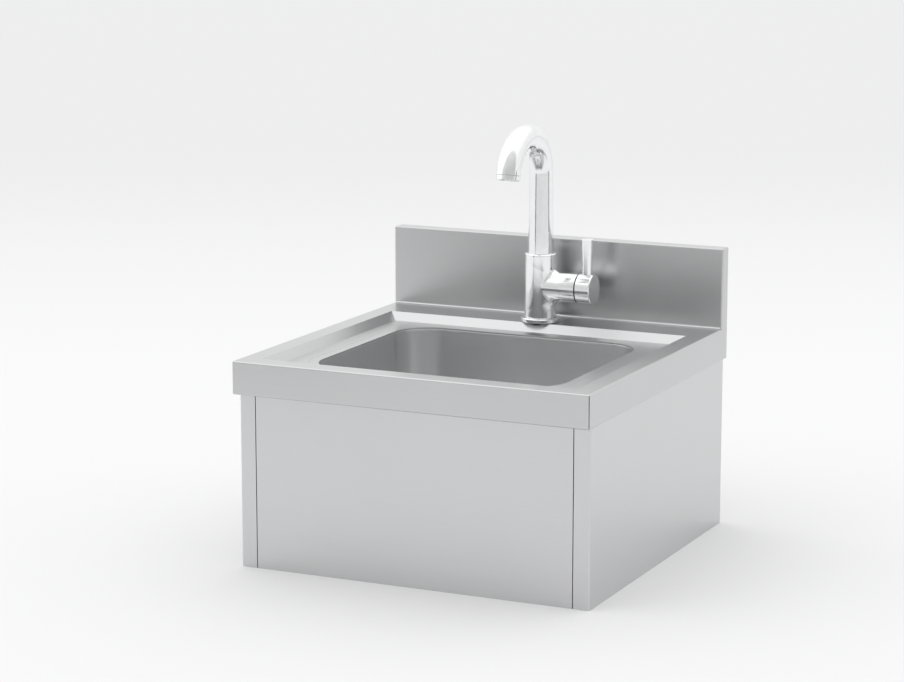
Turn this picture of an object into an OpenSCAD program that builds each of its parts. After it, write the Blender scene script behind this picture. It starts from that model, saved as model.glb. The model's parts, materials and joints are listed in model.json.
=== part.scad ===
// A small dishwashing sink unit: a folded steel cabinet body, a worktop with a splash upstand
// and a sunk drip area, a deep bowl with a basket waste, and a side-lever mixer tap.
// Millimetres. The origin is the centre of the footprint on the floor, +X is to the user's
// right, +Y is to the back and +Z is up.

/* [Worktop] */
// Width of the unit from side to side, mm
unit_w = 450; // [430:5:600]
// Depth of the unit from front to back, mm
unit_d = 450; // [430:5:600]
// Height of the worktop above the floor, mm
unit_h = 250; // [240:5:320]
// Height of the apron that hangs from the worktop's edge, mm
apron_h = 40; // [30:1:60]
// Height of the splash upstand above the worktop, mm
upstand_h = 100; // [60:5:120]
// Thickness of the hollow splash upstand, mm
upstand_t = 20; // [15:1:30]
// Width of the flat rim at the front and the sides, mm
rim_w = 25; // [22:1:40]
// Depth of the flat tap ledge in front of the upstand, mm
ledge_d = 60; // [58:1:80]
// Depth of the sunk drip area, which is also the run of its sloping walls, mm
drip_depth = 10; // [6:1:12]
// Thickness of the worktop sheet, mm
sheet_t = 1.5; // [1.2:0.1:2]

/* [Bowl] */
// Width of the drip floor on the left and on the right of the bowl, mm
bowl_side_floor = 32.5; // [20:0.5:60]
// Width of the drip floor in front of the bowl and behind it, mm
bowl_end_floor = 20; // [16:0.5:40]
// Depth of the bowl below the drip area's floor, mm
bowl_depth = 150; // [120:5:160]
// Plan radius of the bowl's corners, mm
bowl_corner_r = 45; // [30:1:70]
// Radius of the bend between the bowl's wall and its bottom, mm
bowl_foot_r = 20; // [10:1:25]
// Outer radius of the bend round the bowl's mouth, mm
bowl_lip_r = 5; // [3:0.5:6]
// Thickness of the bowl sheet, mm
bowl_t = 1.2; // [0.8:0.1:1.5]

/* [Cabinet body] */
// Thickness of the body sheet, mm
body_t = 1.5; // [1:0.1:2]
// How far the side panels stand in from the worktop's sides, mm
side_inset = 3; // [2.5:0.5:10]
// How far the front stands in from the worktop's front, mm
front_inset = 12.5; // [8:0.5:25]
// Width of the side panels' return flange at the front and the back, mm
return_w = 20; // [18:1:30]
// Width of the gap between the front fascia and the return flanges, mm
fascia_gap = 1; // [0.5:0.1:2]

/* [Tap] */
// Diameter of the tap body, mm
tap_body_d = 40; // [38:1:44]
// Height of the top of the tap body above the worktop, mm
tap_body_h = 87; // [85:1:100]
// Height of the lever's axis above the worktop, mm
tap_lever_h = 45.2; // [44:0.1:50]
// Diameter of the spout tube at the tap body, mm
spout_d = 32; // [30:1:34]
// Radius of the spout's bend, mm
spout_bend_r = 51; // [45:1:60]
// Height of the centre of the spout's bend above the worktop, mm
spout_rise = 186.5; // [150:0.5:220]
// Turn of the spout's bend from the upright tube to the outlet, degrees
spout_sweep = 169; // [150:1:175]
// Diameter of the round handle cap, mm
cap_d = 38; // [36:0.5:42]
// Length of the lever above its axis, mm
lever_len = 62.6; // [50:0.1:80]

/* [Hidden] */
$fn = 64;

// Over-run of a cut past the face that it opens
cut = 1;
half_w = unit_w / 2;
half_d = unit_d / 2;
under_z = unit_h - sheet_t;
edge_r = 2;
crease_r = 2.5;

// Sunk drip area
drip_front = -half_d + rim_w;
drip_back = half_d - upstand_t - ledge_d;
drip_half_w = half_w - rim_w;
drip_z = unit_h - drip_depth;
slope_shift = sheet_t * (sqrt(2) - 1);

// Bowl
bowl_w = 2 * (drip_half_w - drip_depth - bowl_side_floor);
bowl_d = drip_back - drip_front - 2 * (drip_depth + bowl_end_floor);
bowl_y = (drip_front + drip_back) / 2;
bowl_z = drip_z - bowl_depth;
bowl_flange = 7.5;
core_w = bowl_w / 2 - bowl_corner_r;
core_d = bowl_d / 2 - bowl_corner_r;
foot_core_r = bowl_corner_r - bowl_foot_r;
mouth_r = bowl_corner_r + bowl_lip_r + bowl_flange;
pad_t = 3;
pad_w = 200;
pad_d = 180;
pad_corner_r = 20;
pad_gap = 4;

// Waste fitting
dish_r = 60;
dish_drop = 4;
dish_z = bowl_z - dish_drop;
dish_rim = 2;
dish_edge = dish_r + dish_drop + dish_rim;
dish_overlap = 0.1;
drain_hole_r = 45;
seal_top_t = 1;
seal_top_inset = 1;
seal_low_t = 2;
seal_bore_gap = 1;
seal_bore_r = drain_hole_r + seal_bore_gap;
waste_flange_r = 56;
waste_flange_t = 2;
flange_z = dish_z + seal_top_t;
flange_top_z = flange_z + waste_flange_t;
cup_r = 44;
cup_t = 1;
cup_depth = 42;
cup_floor_z = dish_z - cup_depth;
cup_mouth_bevel = 1.5;
cup_holes = 6;
cup_hole_r = 9;
cup_hole_ring_r = 25;
body_top_z = dish_z - bowl_t - seal_low_t;
body_flange_t = 4;
chamber_r = 48;
chamber_t = 3;
chamber_drop = 9;
chamber_floor_z = cup_floor_z - chamber_drop;
chamber_low_z = chamber_floor_z - chamber_t;
tail_r = 23.9;
tail_bore_r = 19;
tail_len = 24;
tail_z = chamber_low_z - tail_len;
hub_r = 7;
hub_top_z = cup_floor_z - cup_t;
hub_len = 22;
hub_ribs = 3;
hub_rib_t = 2.5;
hub_rib_root = 2;
insert_r = 4.5;
insert_len = 14;
screw_r = 3;
screw_gap = 0.2;
screw_len = 12;
screw_head_r = 5.5;
screw_head_t = 3.2;
screw_slot_w = 1.2;
screw_slot_d = 1.2;
basket_r = 41.5;
basket_t = 1;
basket_lift = 5;
basket_z = cup_floor_z + basket_lift;
basket_top_down = 2;
basket_top_z = flange_z - basket_top_down;
basket_rim = 1;
basket_hole_r = 2.5;
basket_inner_holes = [6, 13];
basket_outer_holes = [12, 25];
basket_slot_r = 3;
basket_slots = 12;
basket_slot_up = 15;
basket_slot_z = basket_z + basket_slot_up;
post_r = 3.5;
post_drop = 4;
knob_r = 10;
knob_neck_wall = 2;
knob_neck_r = post_r + knob_neck_wall;
knob_neck_len = 8;
knob_top_down = 1;
knob_top_z = flange_top_z - knob_top_down;
knob_top_bevel = 3;
knob_edge_z = knob_top_z - knob_top_bevel;
knob_under_h = 2;
knob_under_z = knob_edge_z - knob_under_h;
knob_under_bevel = 1.5;
stopper_gap = 1.5;
stopper_w = 6;
stopper_t = 3;

// Cabinet body
side_x = half_w - side_inset;
front_y = -half_d + front_inset;
rear_gap = 1.2;
rear_y = half_d - sheet_t - rear_gap;
rear_flange_y = rear_y - body_t;
flange_end_x = side_x - return_w;
lip_d = 15;
lip_clearance = 5;
lip_top = drip_z - lip_clearance;
foot_flange_w = 25;
foot_flange_gap = 5;
foot_hole_r = 3.5;
foot_hole_x = side_x - foot_flange_w / 2;
foot_hole_in = 75;
foot_hole_y = half_d - foot_hole_in;
stud_r = 2.5;
stud_gap = 0.5;
stud_len = 13;
stud_in = 10;
stud_front_in = 75;
stud_back_in = 105;
stud_x = side_x - stud_in;
stud_y = [-half_d + stud_front_in, half_d - stud_back_in];
top_flange_gap = 3;
top_flange_most = 18;
top_flange_w = min(top_flange_most, side_x - drip_half_w - top_flange_gap);
stud_nut_af = 8;
stud_nut_t = 5;
stud_nut_flange_r = 5.5;
stud_nut_flange_t = 1;
fascia_x = flange_end_x - fascia_gap;
fascia_rise = 3;
fascia_h = lip_top + fascia_rise;
fascia_screw_in = 6.5;
fascia_screw_low = 30;
fascia_screw_down = 50;
fascia_screw_y = front_y + body_t + fascia_screw_in;
fascia_screw_z = [fascia_screw_low, unit_h - fascia_screw_down];
m4_r = 2;
m4_hole_r = 2.2;
m4_head_r = 3.8;
m4_head_t = 2.1;
m4_head_bevel = 0.7;
m4_head_slope = 1;
m4_tip = 5;
m4_nut_af = 7;
m4_nut_t = 3.2;
spacer_r = 4.5;
apron_lip_gap = 0.2;
rear_panel_inset = 3;
rear_panel_x = side_x - rear_panel_inset;
rear_panel_gap = 5;
rear_panel_h = unit_h - apron_h - rear_panel_gap;
rear_foot_x = side_x - foot_flange_w - foot_flange_gap;
service_x = 110;
service_z = [60, 170];
service_r = 8;
rear_screw_in = 9;
rear_screw_x = flange_end_x + rear_screw_in;
rear_screw_low = 25;
rear_screw_down = 20;
rear_screw_high = rear_panel_h - rear_screw_down;
rear_screw_z = [rear_screw_low, (rear_screw_low + rear_screw_high) / 2, rear_screw_high];

// Tap
tap_ledge_gap = 16;
tap_y = drip_back + tap_ledge_gap;
tap_hole_r = 14.25;
top_bevel = 1;
gasket_r = 23;
gasket_t = 1.5;
base_ring_r = 24.5;
base_ring_t = 4.5;
gasket_top = unit_h + gasket_t;
tap_z = gasket_top + base_ring_t;
tap_r = tap_body_d / 2;
tap_top = unit_h + tap_body_h;
axis_z = unit_h + tap_lever_h;
shank_r = 13.2;
shank_gap = 0.5;
shank_in = 12;
shank_socket = 4;
shank_top = tap_z + shank_in;
shank_hang = 45;
shank_low = unit_h - shank_hang;
spigot_r = 17;
spigot_d = 2.5;
inlet_r = 5;
inlet_x = 6.2;
inlet_len = 15;
port_r = 2.5;
port_up = 1;
port_down = 8;
outlet_port_r = 3;
outlet_port_up = 9;
port_depth = 5;
clamp_r = 27;
clamp_seal_t = 2;
clamp_plate_t = 3;
clamp_slot_r = 13.6;
tap_nut_af = 32;
tap_nut_t = 7;
clamp_seal_z = under_z - clamp_seal_t;
clamp_plate_z = clamp_seal_z - clamp_plate_t;

// Side housing of the tap, which holds the cartridge; distances along X from the tap's axis
housing_r = 18.25;
housing_end = 53;
chamber_bore_r = 16;
chamber_x = 14;
cartridge_end = 40;
nut_end = 44.5;
turret_r = 12;
turret_gap = 0.05;
turret_x = 26;
turret_end = 44;
turret_lift = 0.1;
turret_slot_back = 2.5;
turret_slot_down = 0.6;
turret_slot_wall = 1.4;
cartridge_nut_gap = 0.6;
cartridge_nut_bore_r = turret_r + cartridge_nut_gap;
collar_bore_r = 12.8;
collar_r = 17.6;
collar_step = 46;
blend_r = 7;
blend_root = 6;

// Handle; the cap's back is a ball round the pivot, so it can tilt in the dished collar
cap_r = cap_d / 2;
cap_x = 53.5;
cap_end = 72.3;
pivot_x = 62.5;
ball_r = sqrt(pow(cap_r, 2) + pow(pivot_x - cap_x, 2));
ball_gap = 0.25;
cap_wall = 1.5;
cap_core_x = 58;
cap_back = 6;
cap_back_x = cap_x - cap_back;
cap_hollow = 8;
cap_hollow_x = cap_x - cap_hollow;
stem_r = 3;
stem_gap = 0.05;
stem_x = 41;
stem_end = 67;
stem_bevel = 1;
boss_wall = 2.5;
boss_r = stem_r + boss_wall;
lever_foot_r = 6.15;
lever_top_r = 7.5;
lever_root = 3;
spigot_in = 4;
lever_seat = 8;
lever_seat_z = axis_z + lever_seat;

// Spout
spout_r = spout_d / 2;
socket_depth = 21;
socket_z = tap_top - socket_depth;
bearing_t = 2;
bearing_gap = 0.1;
spout_gap = 0.05;
spout_foot = socket_z + bearing_t + bearing_gap;
spout_straight = 6;
spout_bore_r = 12.5;
bend_z = unit_h + spout_rise;
bend_tube_r = 15;
groove_half = 1.3;
groove_down = [4.5, 9];
groove_z = [tap_top - groove_down[0], tap_top - groove_down[1]];
groove_depth = 2.1;
o_ring_r = 0.98;
catch_down = 15;
catch_z = tap_top - catch_down;
catch_half = 1.6;
catch_depth = 1.6;
catch_side_gap = 0.35;
catch_tip_r = catch_half - catch_side_gap;
catch_tip_gap = 0.3;
grub_r = 2;
grub_in = 0.6;
grub_end_gap = 0.2;
grub_key_af = 2;
grub_key_d = 1.8;
cap_grub_in = 1;
aerator_r = 14.7;
aerator_len = 6.5;
aerator_bevel = 0.6;
seam_t = 0.1;
seam_bevel = 0.3;
aerator_thread_r = 12.2;
aerator_thread_len = 4;
aerator_bore_r = 10.5;
jet_top_in = 1;
jet_face_in = 1.2;
jet_count = 6;
jet_r = 1.6;
jet_ring_r = 5.5;
jet_centre_r = 2;

// A rectangle with rounded corners, from its low corner to its high corner
module round_rect(low, high, r) {
    size = high - low;
    translate(low + [r, 0]) square([size[0] - 2 * r, size[1]]);
    translate(low + [0, r]) square([size[0], size[1] - 2 * r]);
    for (x = [r, size[0] - r], y = [r, size[1] - r])
        translate(low + [x, y]) circle(r = r);
}

// A box from its low corner to its high corner
module span(low, high) {
    translate(low) cube(high - low);
}

// A box whose twelve edges are rounded
module soft_box(low, high, r) {
    size = high - low;
    intersection() {
        translate([0, 0, low[2]]) linear_extrude(size[2])
            round_rect([low[0], low[1]], [high[0], high[1]], r);
        translate([0, high[1], 0]) rotate([90, 0, 0]) linear_extrude(size[1])
            round_rect([low[0], low[2]], [high[0], high[2]], r);
        translate([low[0], 0, 0]) rotate([90, 0, 90]) linear_extrude(size[0])
            round_rect([low[1], low[2]], [high[1], high[2]], r);
    }
}

// A cylinder along Z from z = a to z = b
module rod(r, a, b) {
    translate([0, 0, a]) cylinder(r = r, h = b - a);
}

// A tube along Z from z = a to z = b
module tube(outer, inner, a, b) {
    difference() {
        rod(outer, a, b);
        rod(inner, a - cut, b + cut);
    }
}

// Copies spread evenly round Z, each moved out along its own X
module ring_of(count, reach) {
    for (k = [0:count - 1]) rotate([0, 0, 360 / count * k]) translate([reach, 0, 0]) children();
}

// A hexagonal prism along Z, measured across its flats
module hexagon(af, a, b) {
    translate([0, 0, a]) cylinder(r = af / sqrt(3), h = b - a, $fn = 6);
}

// Turns what is drawn along +Z from the origin so that it runs along +X
module along_x() {
    rotate([0, 90, 0]) children();
}

// Moves what is drawn round the tap's side axis into place, with +Z turned to +X
module on_lever_axis() {
    translate([0, tap_y, axis_z]) rotate([0, 90, 0]) children();
}

// Moves what is drawn round the drain's axis into place
module on_drain() {
    translate([0, bowl_y, 0]) children();
}

// A profile swept round the bowl's plan; its x is measured from the corner centres
module bowl_sweep() {
    runs = [2 * core_d, 2 * core_w];
    spots = [[1, 1], [-1, 1], [-1, -1], [1, -1]];
    for (k = [0:3])
        translate([spots[k][0] * core_w, bowl_y + spots[k][1] * core_d, 0])
            rotate([0, 0, 90 * k]) {
                rotate_extrude(angle = 90) children();
                rotate([90, 0, 0]) linear_extrude(runs[k % 2]) children();
            }
}

// The bowl's plan, with the given radius round its corner centres
module bowl_plan(r) {
    round_rect([-core_w - r, bowl_y - core_d - r], [core_w + r, bowl_y + core_d + r], r);
}

// The sunk drip area as a solid with 45 degree walls, grown outwards by a shift
module drip_solid(shift, low, high) {
    spread = high - unit_h + shift;
    drop = high - low;
    x0 = drip_half_w + spread;
    front = drip_front - spread;
    back = drip_back + spread;
    intersection() {
        translate([0, half_d, 0]) rotate([90, 0, 0]) linear_extrude(unit_d)
            polygon([[-x0, high], [x0, high], [x0 - drop, low], [drop - x0, low]]);
        translate([-half_w, 0, 0]) rotate([90, 0, 90]) linear_extrude(unit_w)
            polygon([[front, high], [back, high], [back - drop, low], [front + drop, low]]);
    }
}

// The outside of the folded worktop and its upstand, with a small crease at the ledge
module worktop_skin() {
    up_y = half_d - upstand_t;
    soft_box([-half_w, -half_d, unit_h - apron_h], [half_w, half_d, unit_h], edge_r);
    soft_box([-half_w, up_y, unit_h - apron_h], [half_w, half_d, unit_h + upstand_h], edge_r);
    translate([-half_w + edge_r, up_y, unit_h]) rotate([90, 0, 90])
        linear_extrude(unit_w - 2 * edge_r) difference() {
            translate([-crease_r, 0]) square(crease_r);
            translate([-crease_r, crease_r]) circle(r = crease_r);
        }
}

// The hollow inside the folded worktop and its upstand
module worktop_hollow() {
    x = half_w - sheet_t;
    y = half_d - sheet_t;
    z = unit_h - apron_h + sheet_t;
    span([-x, -y, z], [x, y, under_z]);
    span([-x, half_d - upstand_t + sheet_t, z], [x, y, unit_h + upstand_h - sheet_t]);
    span([-side_x - apron_lip_gap, front_y - apron_lip_gap, z - sheet_t - cut],
        [side_x + apron_lip_gap, rear_y + apron_lip_gap, z + cut]);
}

// Pressed and folded worktop with the upstand, the apron and the sunk drip area
module worktop() {
    color("silver") difference() {
        union() {
            difference() {
                worktop_skin();
                worktop_hollow();
            }
            drip_solid(slope_shift, drip_z - sheet_t, unit_h - sheet_t / 2);
        }
        drip_solid(0, drip_z, unit_h + cut);
        translate([0, 0, drip_z - 2 * sheet_t]) linear_extrude(4 * sheet_t) bowl_plan(mouth_r);
        translate([0, tap_y, 0]) rod(tap_hole_r, under_z - cut, unit_h + cut);
    }
}

// One side of a rounded bend: the quarter of a ring that a wall and a floor share
module bend_ring(outer, inner, corner) {
    intersection() {
        difference() {
            circle(r = outer);
            circle(r = inner);
        }
        translate([corner[0] < 0 ? -outer : 0, corner[1] < 0 ? -outer : 0]) square(outer);
    }
}

// Profile of the bowl's wall with the bend at its mouth and the bend at its foot
module bowl_wall() {
    lip_x = bowl_corner_r + bowl_lip_r;
    translate([lip_x, drip_z - bowl_t]) square([bowl_flange, bowl_t]);
    translate([lip_x, drip_z - bowl_lip_r])
        bend_ring(bowl_lip_r, bowl_lip_r - bowl_t, [-1, 1]);
    translate([bowl_corner_r, bowl_z + bowl_foot_r])
        square([bowl_t, bowl_depth - bowl_foot_r - bowl_lip_r]);
    translate([foot_core_r, bowl_z + bowl_foot_r])
        bend_ring(bowl_foot_r + bowl_t, bowl_foot_r, [1, -1]);
}

// Sheet pressed down round the drain hole, so that the waste flange lies below the bottom
module drain_dish() {
    low = -dish_drop;
    lean = bowl_t / 2;
    translate([0, 0, bowl_z]) rotate_extrude() polygon([
        [drain_hole_r, low], [dish_r, low], [dish_r - low, 0], [dish_edge, 0],
        [dish_edge, -bowl_t], [dish_r - low + lean, -bowl_t], [dish_r + lean, low - bowl_t],
        [drain_hole_r, low - bowl_t]
    ]);
}

// Deep drawn bowl, welded flush into the drip area
module bowl() {
    color("gainsboro") {
        bowl_sweep() bowl_wall();
        difference() {
            translate([0, 0, bowl_z - bowl_t]) linear_extrude(bowl_t) bowl_plan(foot_core_r);
            on_drain() rod(dish_edge - dish_overlap, bowl_z - 2 * bowl_t, bowl_z + cut);
        }
        on_drain() drain_dish();
    }
}

// Sound-deadening pad glued under the bowl round the waste
module damping_pad() {
    low = [-pad_w / 2, bowl_y - pad_d / 2];
    color("dimgray") difference() {
        translate([0, 0, bowl_z - bowl_t - pad_t]) linear_extrude(pad_t)
            round_rect(low, low + [pad_w, pad_d], pad_corner_r);
        on_drain() rod(dish_edge + pad_gap, bowl_z - bowl_t - pad_t - cut, bowl_z);
    }
}

// A side panel on the right: the wall, its returns, the foot flange and the top flange
module side_panel() {
    wall = side_x - body_t;
    difference() {
        union() {
            linear_extrude(under_z) intersection() {
                difference() {
                    round_rect([0, front_y], [side_x, rear_flange_y], edge_r);
                    round_rect([0, front_y + body_t], [wall, rear_flange_y - body_t],
                        edge_r - body_t);
                }
                translate([flange_end_x, front_y]) square([return_w, rear_flange_y - front_y]);
            }
            span([flange_end_x, front_y, 0], [flange_end_x + body_t, front_y + lip_d, lip_top]);
            span([side_x - foot_flange_w, front_y + lip_d + foot_flange_gap, 0],
                [wall + body_t / 2, rear_flange_y - body_t / 2, body_t]);
            span([side_x - top_flange_w, front_y + body_t / 2, under_z - body_t],
                [wall + body_t / 2, rear_flange_y - body_t / 2, under_z]);
        }
        for (y = [-foot_hole_y, foot_hole_y])
            translate([foot_hole_x, y, 0]) rod(foot_hole_r, -cut, body_t + cut);
        for (y = stud_y)
            translate([stud_x, y, 0]) rod(stud_r + stud_gap, under_z - body_t - cut, under_z + cut);
        for (z = fascia_screw_z)
            translate([flange_end_x - cut, fascia_screw_y, z])
                along_x() rod(m4_hole_r, 0, body_t + 2 * cut);
        for (z = rear_screw_z)
            translate([rear_screw_x, rear_flange_y + cut, z])
                rotate([90, 0, 0]) rod(m4_hole_r, 0, body_t + 2 * cut);
    }
}

// Folded side panel on the right
module right_side_panel() {
    color("lightgray") side_panel();
}

// Folded side panel on the left, the mirror image of the right one
module left_side_panel() {
    color("lightgray") mirror([1, 0, 0]) side_panel();
}

// Front fascia with its side lips and foot lip, set between the return flanges
module front_fascia() {
    color("lightgray") difference() {
        union() {
            span([-fascia_x, front_y, 0], [fascia_x, front_y + body_t, fascia_h]);
            for (side = [0, 1]) mirror([side, 0, 0])
                span([fascia_x - body_t, front_y, 0], [fascia_x, front_y + lip_d, lip_top]);
            span([-fascia_x + body_t, front_y, 0], [fascia_x - body_t, front_y + lip_d, body_t]);
        }
        for (z = fascia_screw_z)
            translate([-fascia_x - cut, fascia_screw_y, z])
                along_x() rod(m4_hole_r, 0, 2 * (fascia_x + cut));
    }
}

// Rear panel with its foot lip and the opening for the water pipes
module rear_panel() {
    color("lightgray") difference() {
        union() {
            span([-rear_panel_x, rear_flange_y, 0], [rear_panel_x, rear_y, rear_panel_h]);
            span([-rear_foot_x, rear_y - lip_d, 0], [rear_foot_x, rear_y, body_t]);
        }
        translate([0, rear_y + cut, 0]) rotate([90, 0, 0]) linear_extrude(body_t + 2 * cut)
            round_rect([-service_x, service_z[0]], [service_x, service_z[1]], service_r);
        for (x = [-rear_screw_x, rear_screw_x], z = rear_screw_z)
            translate([x, rear_y + cut, z]) rotate([90, 0, 0]) rod(m4_hole_r, 0, body_t + 2 * cut);
    }
}

// An M4 pan head screw; its head sits on z = 0 and its shank runs down
module pan_screw(shank_len) {
    rod(m4_r, -shank_len, 0);
    rod(m4_head_r, 0, m4_head_t - m4_head_bevel);
    translate([0, 0, m4_head_t - m4_head_bevel])
        cylinder(r1 = m4_head_r, r2 = m4_head_r - m4_head_slope, h = m4_head_bevel);
}

// Places children at each fascia screw, with +Z pointing to the middle of the cabinet
module at_fascia_screws(x) {
    for (side = [0, 1], z = fascia_screw_z)
        mirror([side, 0, 0]) translate([x, fascia_screw_y, z]) rotate([0, -90, 0]) children();
}

// Screws that hold the fascia's side lips to the side panels' lips
module fascia_screws() {
    color("silver") at_fascia_screws(fascia_x - body_t) pan_screw(2 * body_t + fascia_gap + m4_tip);
}

// Spacer rings that keep the gap beside the fascia
module fascia_spacers() {
    color("dimgray") at_fascia_screws(flange_end_x) tube(spacer_r, m4_hole_r, 0, fascia_gap);
}

// Nuts of the fascia screws
module fascia_nuts() {
    color("silver") at_fascia_screws(flange_end_x + body_t) difference() {
        hexagon(m4_nut_af, -m4_nut_t, 0);
        rod(m4_r, -m4_nut_t - cut, cut);
    }
}

// Places children at each rear screw, with +Z pointing backwards
module at_rear_screws(y) {
    for (x = [-rear_screw_x, rear_screw_x], z = rear_screw_z)
        translate([x, y, z]) rotate([-90, 0, 0]) children();
}

// Screws that hold the rear panel on the side panels' rear returns
module rear_screws() {
    color("silver") at_rear_screws(rear_y) pan_screw(2 * body_t + m4_tip);
}

// Nuts of the rear screws
module rear_nuts() {
    color("silver") at_rear_screws(rear_flange_y - body_t) difference() {
        hexagon(m4_nut_af, -m4_nut_t, 0);
        rod(m4_r, -m4_nut_t - cut, cut);
    }
}

// Studs welded under the worktop's side rims
module worktop_studs() {
    color("silver") for (x = [-stud_x, stud_x], y = stud_y)
        translate([x, y, 0]) rod(stud_r, under_z - stud_len, under_z);
}

// Flanged nuts that pull the worktop down on the side panels' top flanges
module worktop_nuts() {
    top = under_z - body_t;
    color("silver") for (x = [-stud_x, stud_x], y = stud_y) translate([x, y, 0]) difference() {
        union() {
            rod(stud_nut_flange_r, top - stud_nut_flange_t, top);
            hexagon(stud_nut_af, top - stud_nut_t, top - stud_nut_flange_t / 2);
        }
        rod(stud_r, top - stud_nut_t - cut, top + cut);
    }
}

// Rubber ring between the waste flange and the bowl
module waste_top_seal() {
    color("black") on_drain() tube(waste_flange_r - seal_top_inset, seal_bore_r, dish_z, flange_z);
}

// Steel cup with its flange; the water leaves through the ring of holes in its floor
module waste_cup() {
    color("silver") on_drain() difference() {
        union() {
            rod(cup_r, cup_floor_z - cup_t, flange_top_z);
            rod(waste_flange_r, flange_z, flange_top_z);
        }
        rod(cup_r - cup_t, cup_floor_z, flange_top_z + cut);
        translate([0, 0, flange_top_z - cup_mouth_bevel]) cylinder(r1 = cup_r - cup_t,
            r2 = cup_r - cup_t + 2 * cup_mouth_bevel, h = 2 * cup_mouth_bevel);
        ring_of(cup_holes, cup_hole_ring_r)
            rod(cup_hole_r, cup_floor_z - 2 * cup_t, cup_floor_z + cut);
        rod(screw_r + screw_gap, cup_floor_z - 2 * cup_t, cup_floor_z + cut);
    }
}

// Rubber ring between the bowl and the waste body
module waste_lower_seal() {
    color("black") on_drain() tube(waste_flange_r, seal_bore_r, body_top_z, dish_z - bowl_t);
}

// Moulded waste body with its chamber, the screw hub on three ribs and the outlet tail
module waste_body() {
    color("dimgray") on_drain() {
        difference() {
            union() {
                rod(waste_flange_r, body_top_z - body_flange_t, body_top_z);
                rod(chamber_r, chamber_low_z, body_top_z);
                rod(tail_r, tail_z, chamber_low_z + cut);
            }
            rod(chamber_r - chamber_t, chamber_floor_z, body_top_z + cut);
            rod(tail_bore_r, tail_z - cut, chamber_floor_z + cut);
        }
        difference() {
            union() {
                rod(hub_r, hub_top_z - hub_len, hub_top_z);
                rotate([0, 0, 30]) ring_of(hub_ribs, 0)
                    span([hub_r - hub_rib_root, -hub_rib_t / 2, hub_top_z - hub_len],
                        [tail_bore_r + 1, hub_rib_t / 2, chamber_floor_z]);
            }
            rod(insert_r, hub_top_z - insert_len, hub_top_z + cut);
        }
    }
}

// Threaded metal insert in the waste body's hub
module waste_insert() {
    color("goldenrod") on_drain() difference() {
        rod(insert_r, hub_top_z - insert_len, hub_top_z);
        rod(screw_r, hub_top_z - insert_len - cut, hub_top_z + cut);
    }
}

// Central screw that clamps the cup and the waste body on the bowl
module waste_screw() {
    color("silver") on_drain() difference() {
        union() {
            rod(screw_r, hub_top_z - screw_len, cup_floor_z + cut);
            rod(screw_head_r, cup_floor_z, cup_floor_z + screw_head_t);
        }
        span([-screw_head_r - cut, -screw_slot_w / 2, cup_floor_z + screw_head_t - screw_slot_d],
            [screw_head_r + cut, screw_slot_w / 2, cup_floor_z + screw_head_t + cut]);
    }
}

// Perforated basket that lifts out of the waste cup
module strainer_basket() {
    color("silver") on_drain() difference() {
        union() {
            difference() {
                rod(basket_r, basket_z, basket_top_z);
                rod(basket_r - basket_t, basket_z + basket_t, basket_top_z + cut);
            }
            tube(basket_r + basket_rim, basket_r - basket_t, basket_top_z - basket_rim,
                basket_top_z);
            rod(post_r, basket_z, basket_top_z - post_drop);
        }
        for (holes = [basket_inner_holes, basket_outer_holes]) ring_of(holes[0], holes[1])
            rod(basket_hole_r, basket_z - cut, basket_z + basket_t + cut);
        translate([0, 0, basket_slot_z]) ring_of(basket_slots, 0)
            along_x() rod(basket_slot_r, basket_r - 2 * basket_t, basket_r + cut);
    }
}

// Round knob on the basket's post
module strainer_knob() {
    post_top = basket_top_z - post_drop;
    neck_z = post_top - knob_neck_len;
    color("black") on_drain() difference() {
        union() {
            rod(knob_neck_r, neck_z, knob_under_z);
            translate([0, 0, knob_under_z]) cylinder(r1 = knob_r - knob_under_bevel, r2 = knob_r,
                h = knob_edge_z - knob_under_z);
            translate([0, 0, knob_edge_z]) cylinder(r1 = knob_r, r2 = knob_r - knob_top_bevel,
                h = knob_top_z - knob_edge_z);
        }
        rod(post_r, neck_z - cut, post_top);
    }
}

// Rubber stopper ring under the basket
module strainer_seal() {
    outer = basket_r - stopper_gap;
    color("black") on_drain() tube(outer, outer - stopper_w, basket_z - stopper_t, basket_z);
}

// Rubber gasket under the tap
module tap_gasket() {
    color("black") translate([0, tap_y, 0]) tube(gasket_r, tap_hole_r, unit_h, gasket_top);
}

// Chromed base ring with a bevelled top edge
module tap_base_ring() {
    color("gainsboro") translate([0, tap_y, 0]) difference() {
        union() {
            rod(base_ring_r, gasket_top, tap_z - top_bevel);
            translate([0, 0, tap_z - top_bevel])
                cylinder(r1 = base_ring_r, r2 = base_ring_r - top_bevel, h = top_bevel);
        }
        rod(shank_r + shank_gap, gasket_top - cut, tap_z + cut);
        rod(spigot_r, tap_z - spigot_d, tap_z + cut);
    }
}

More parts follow.
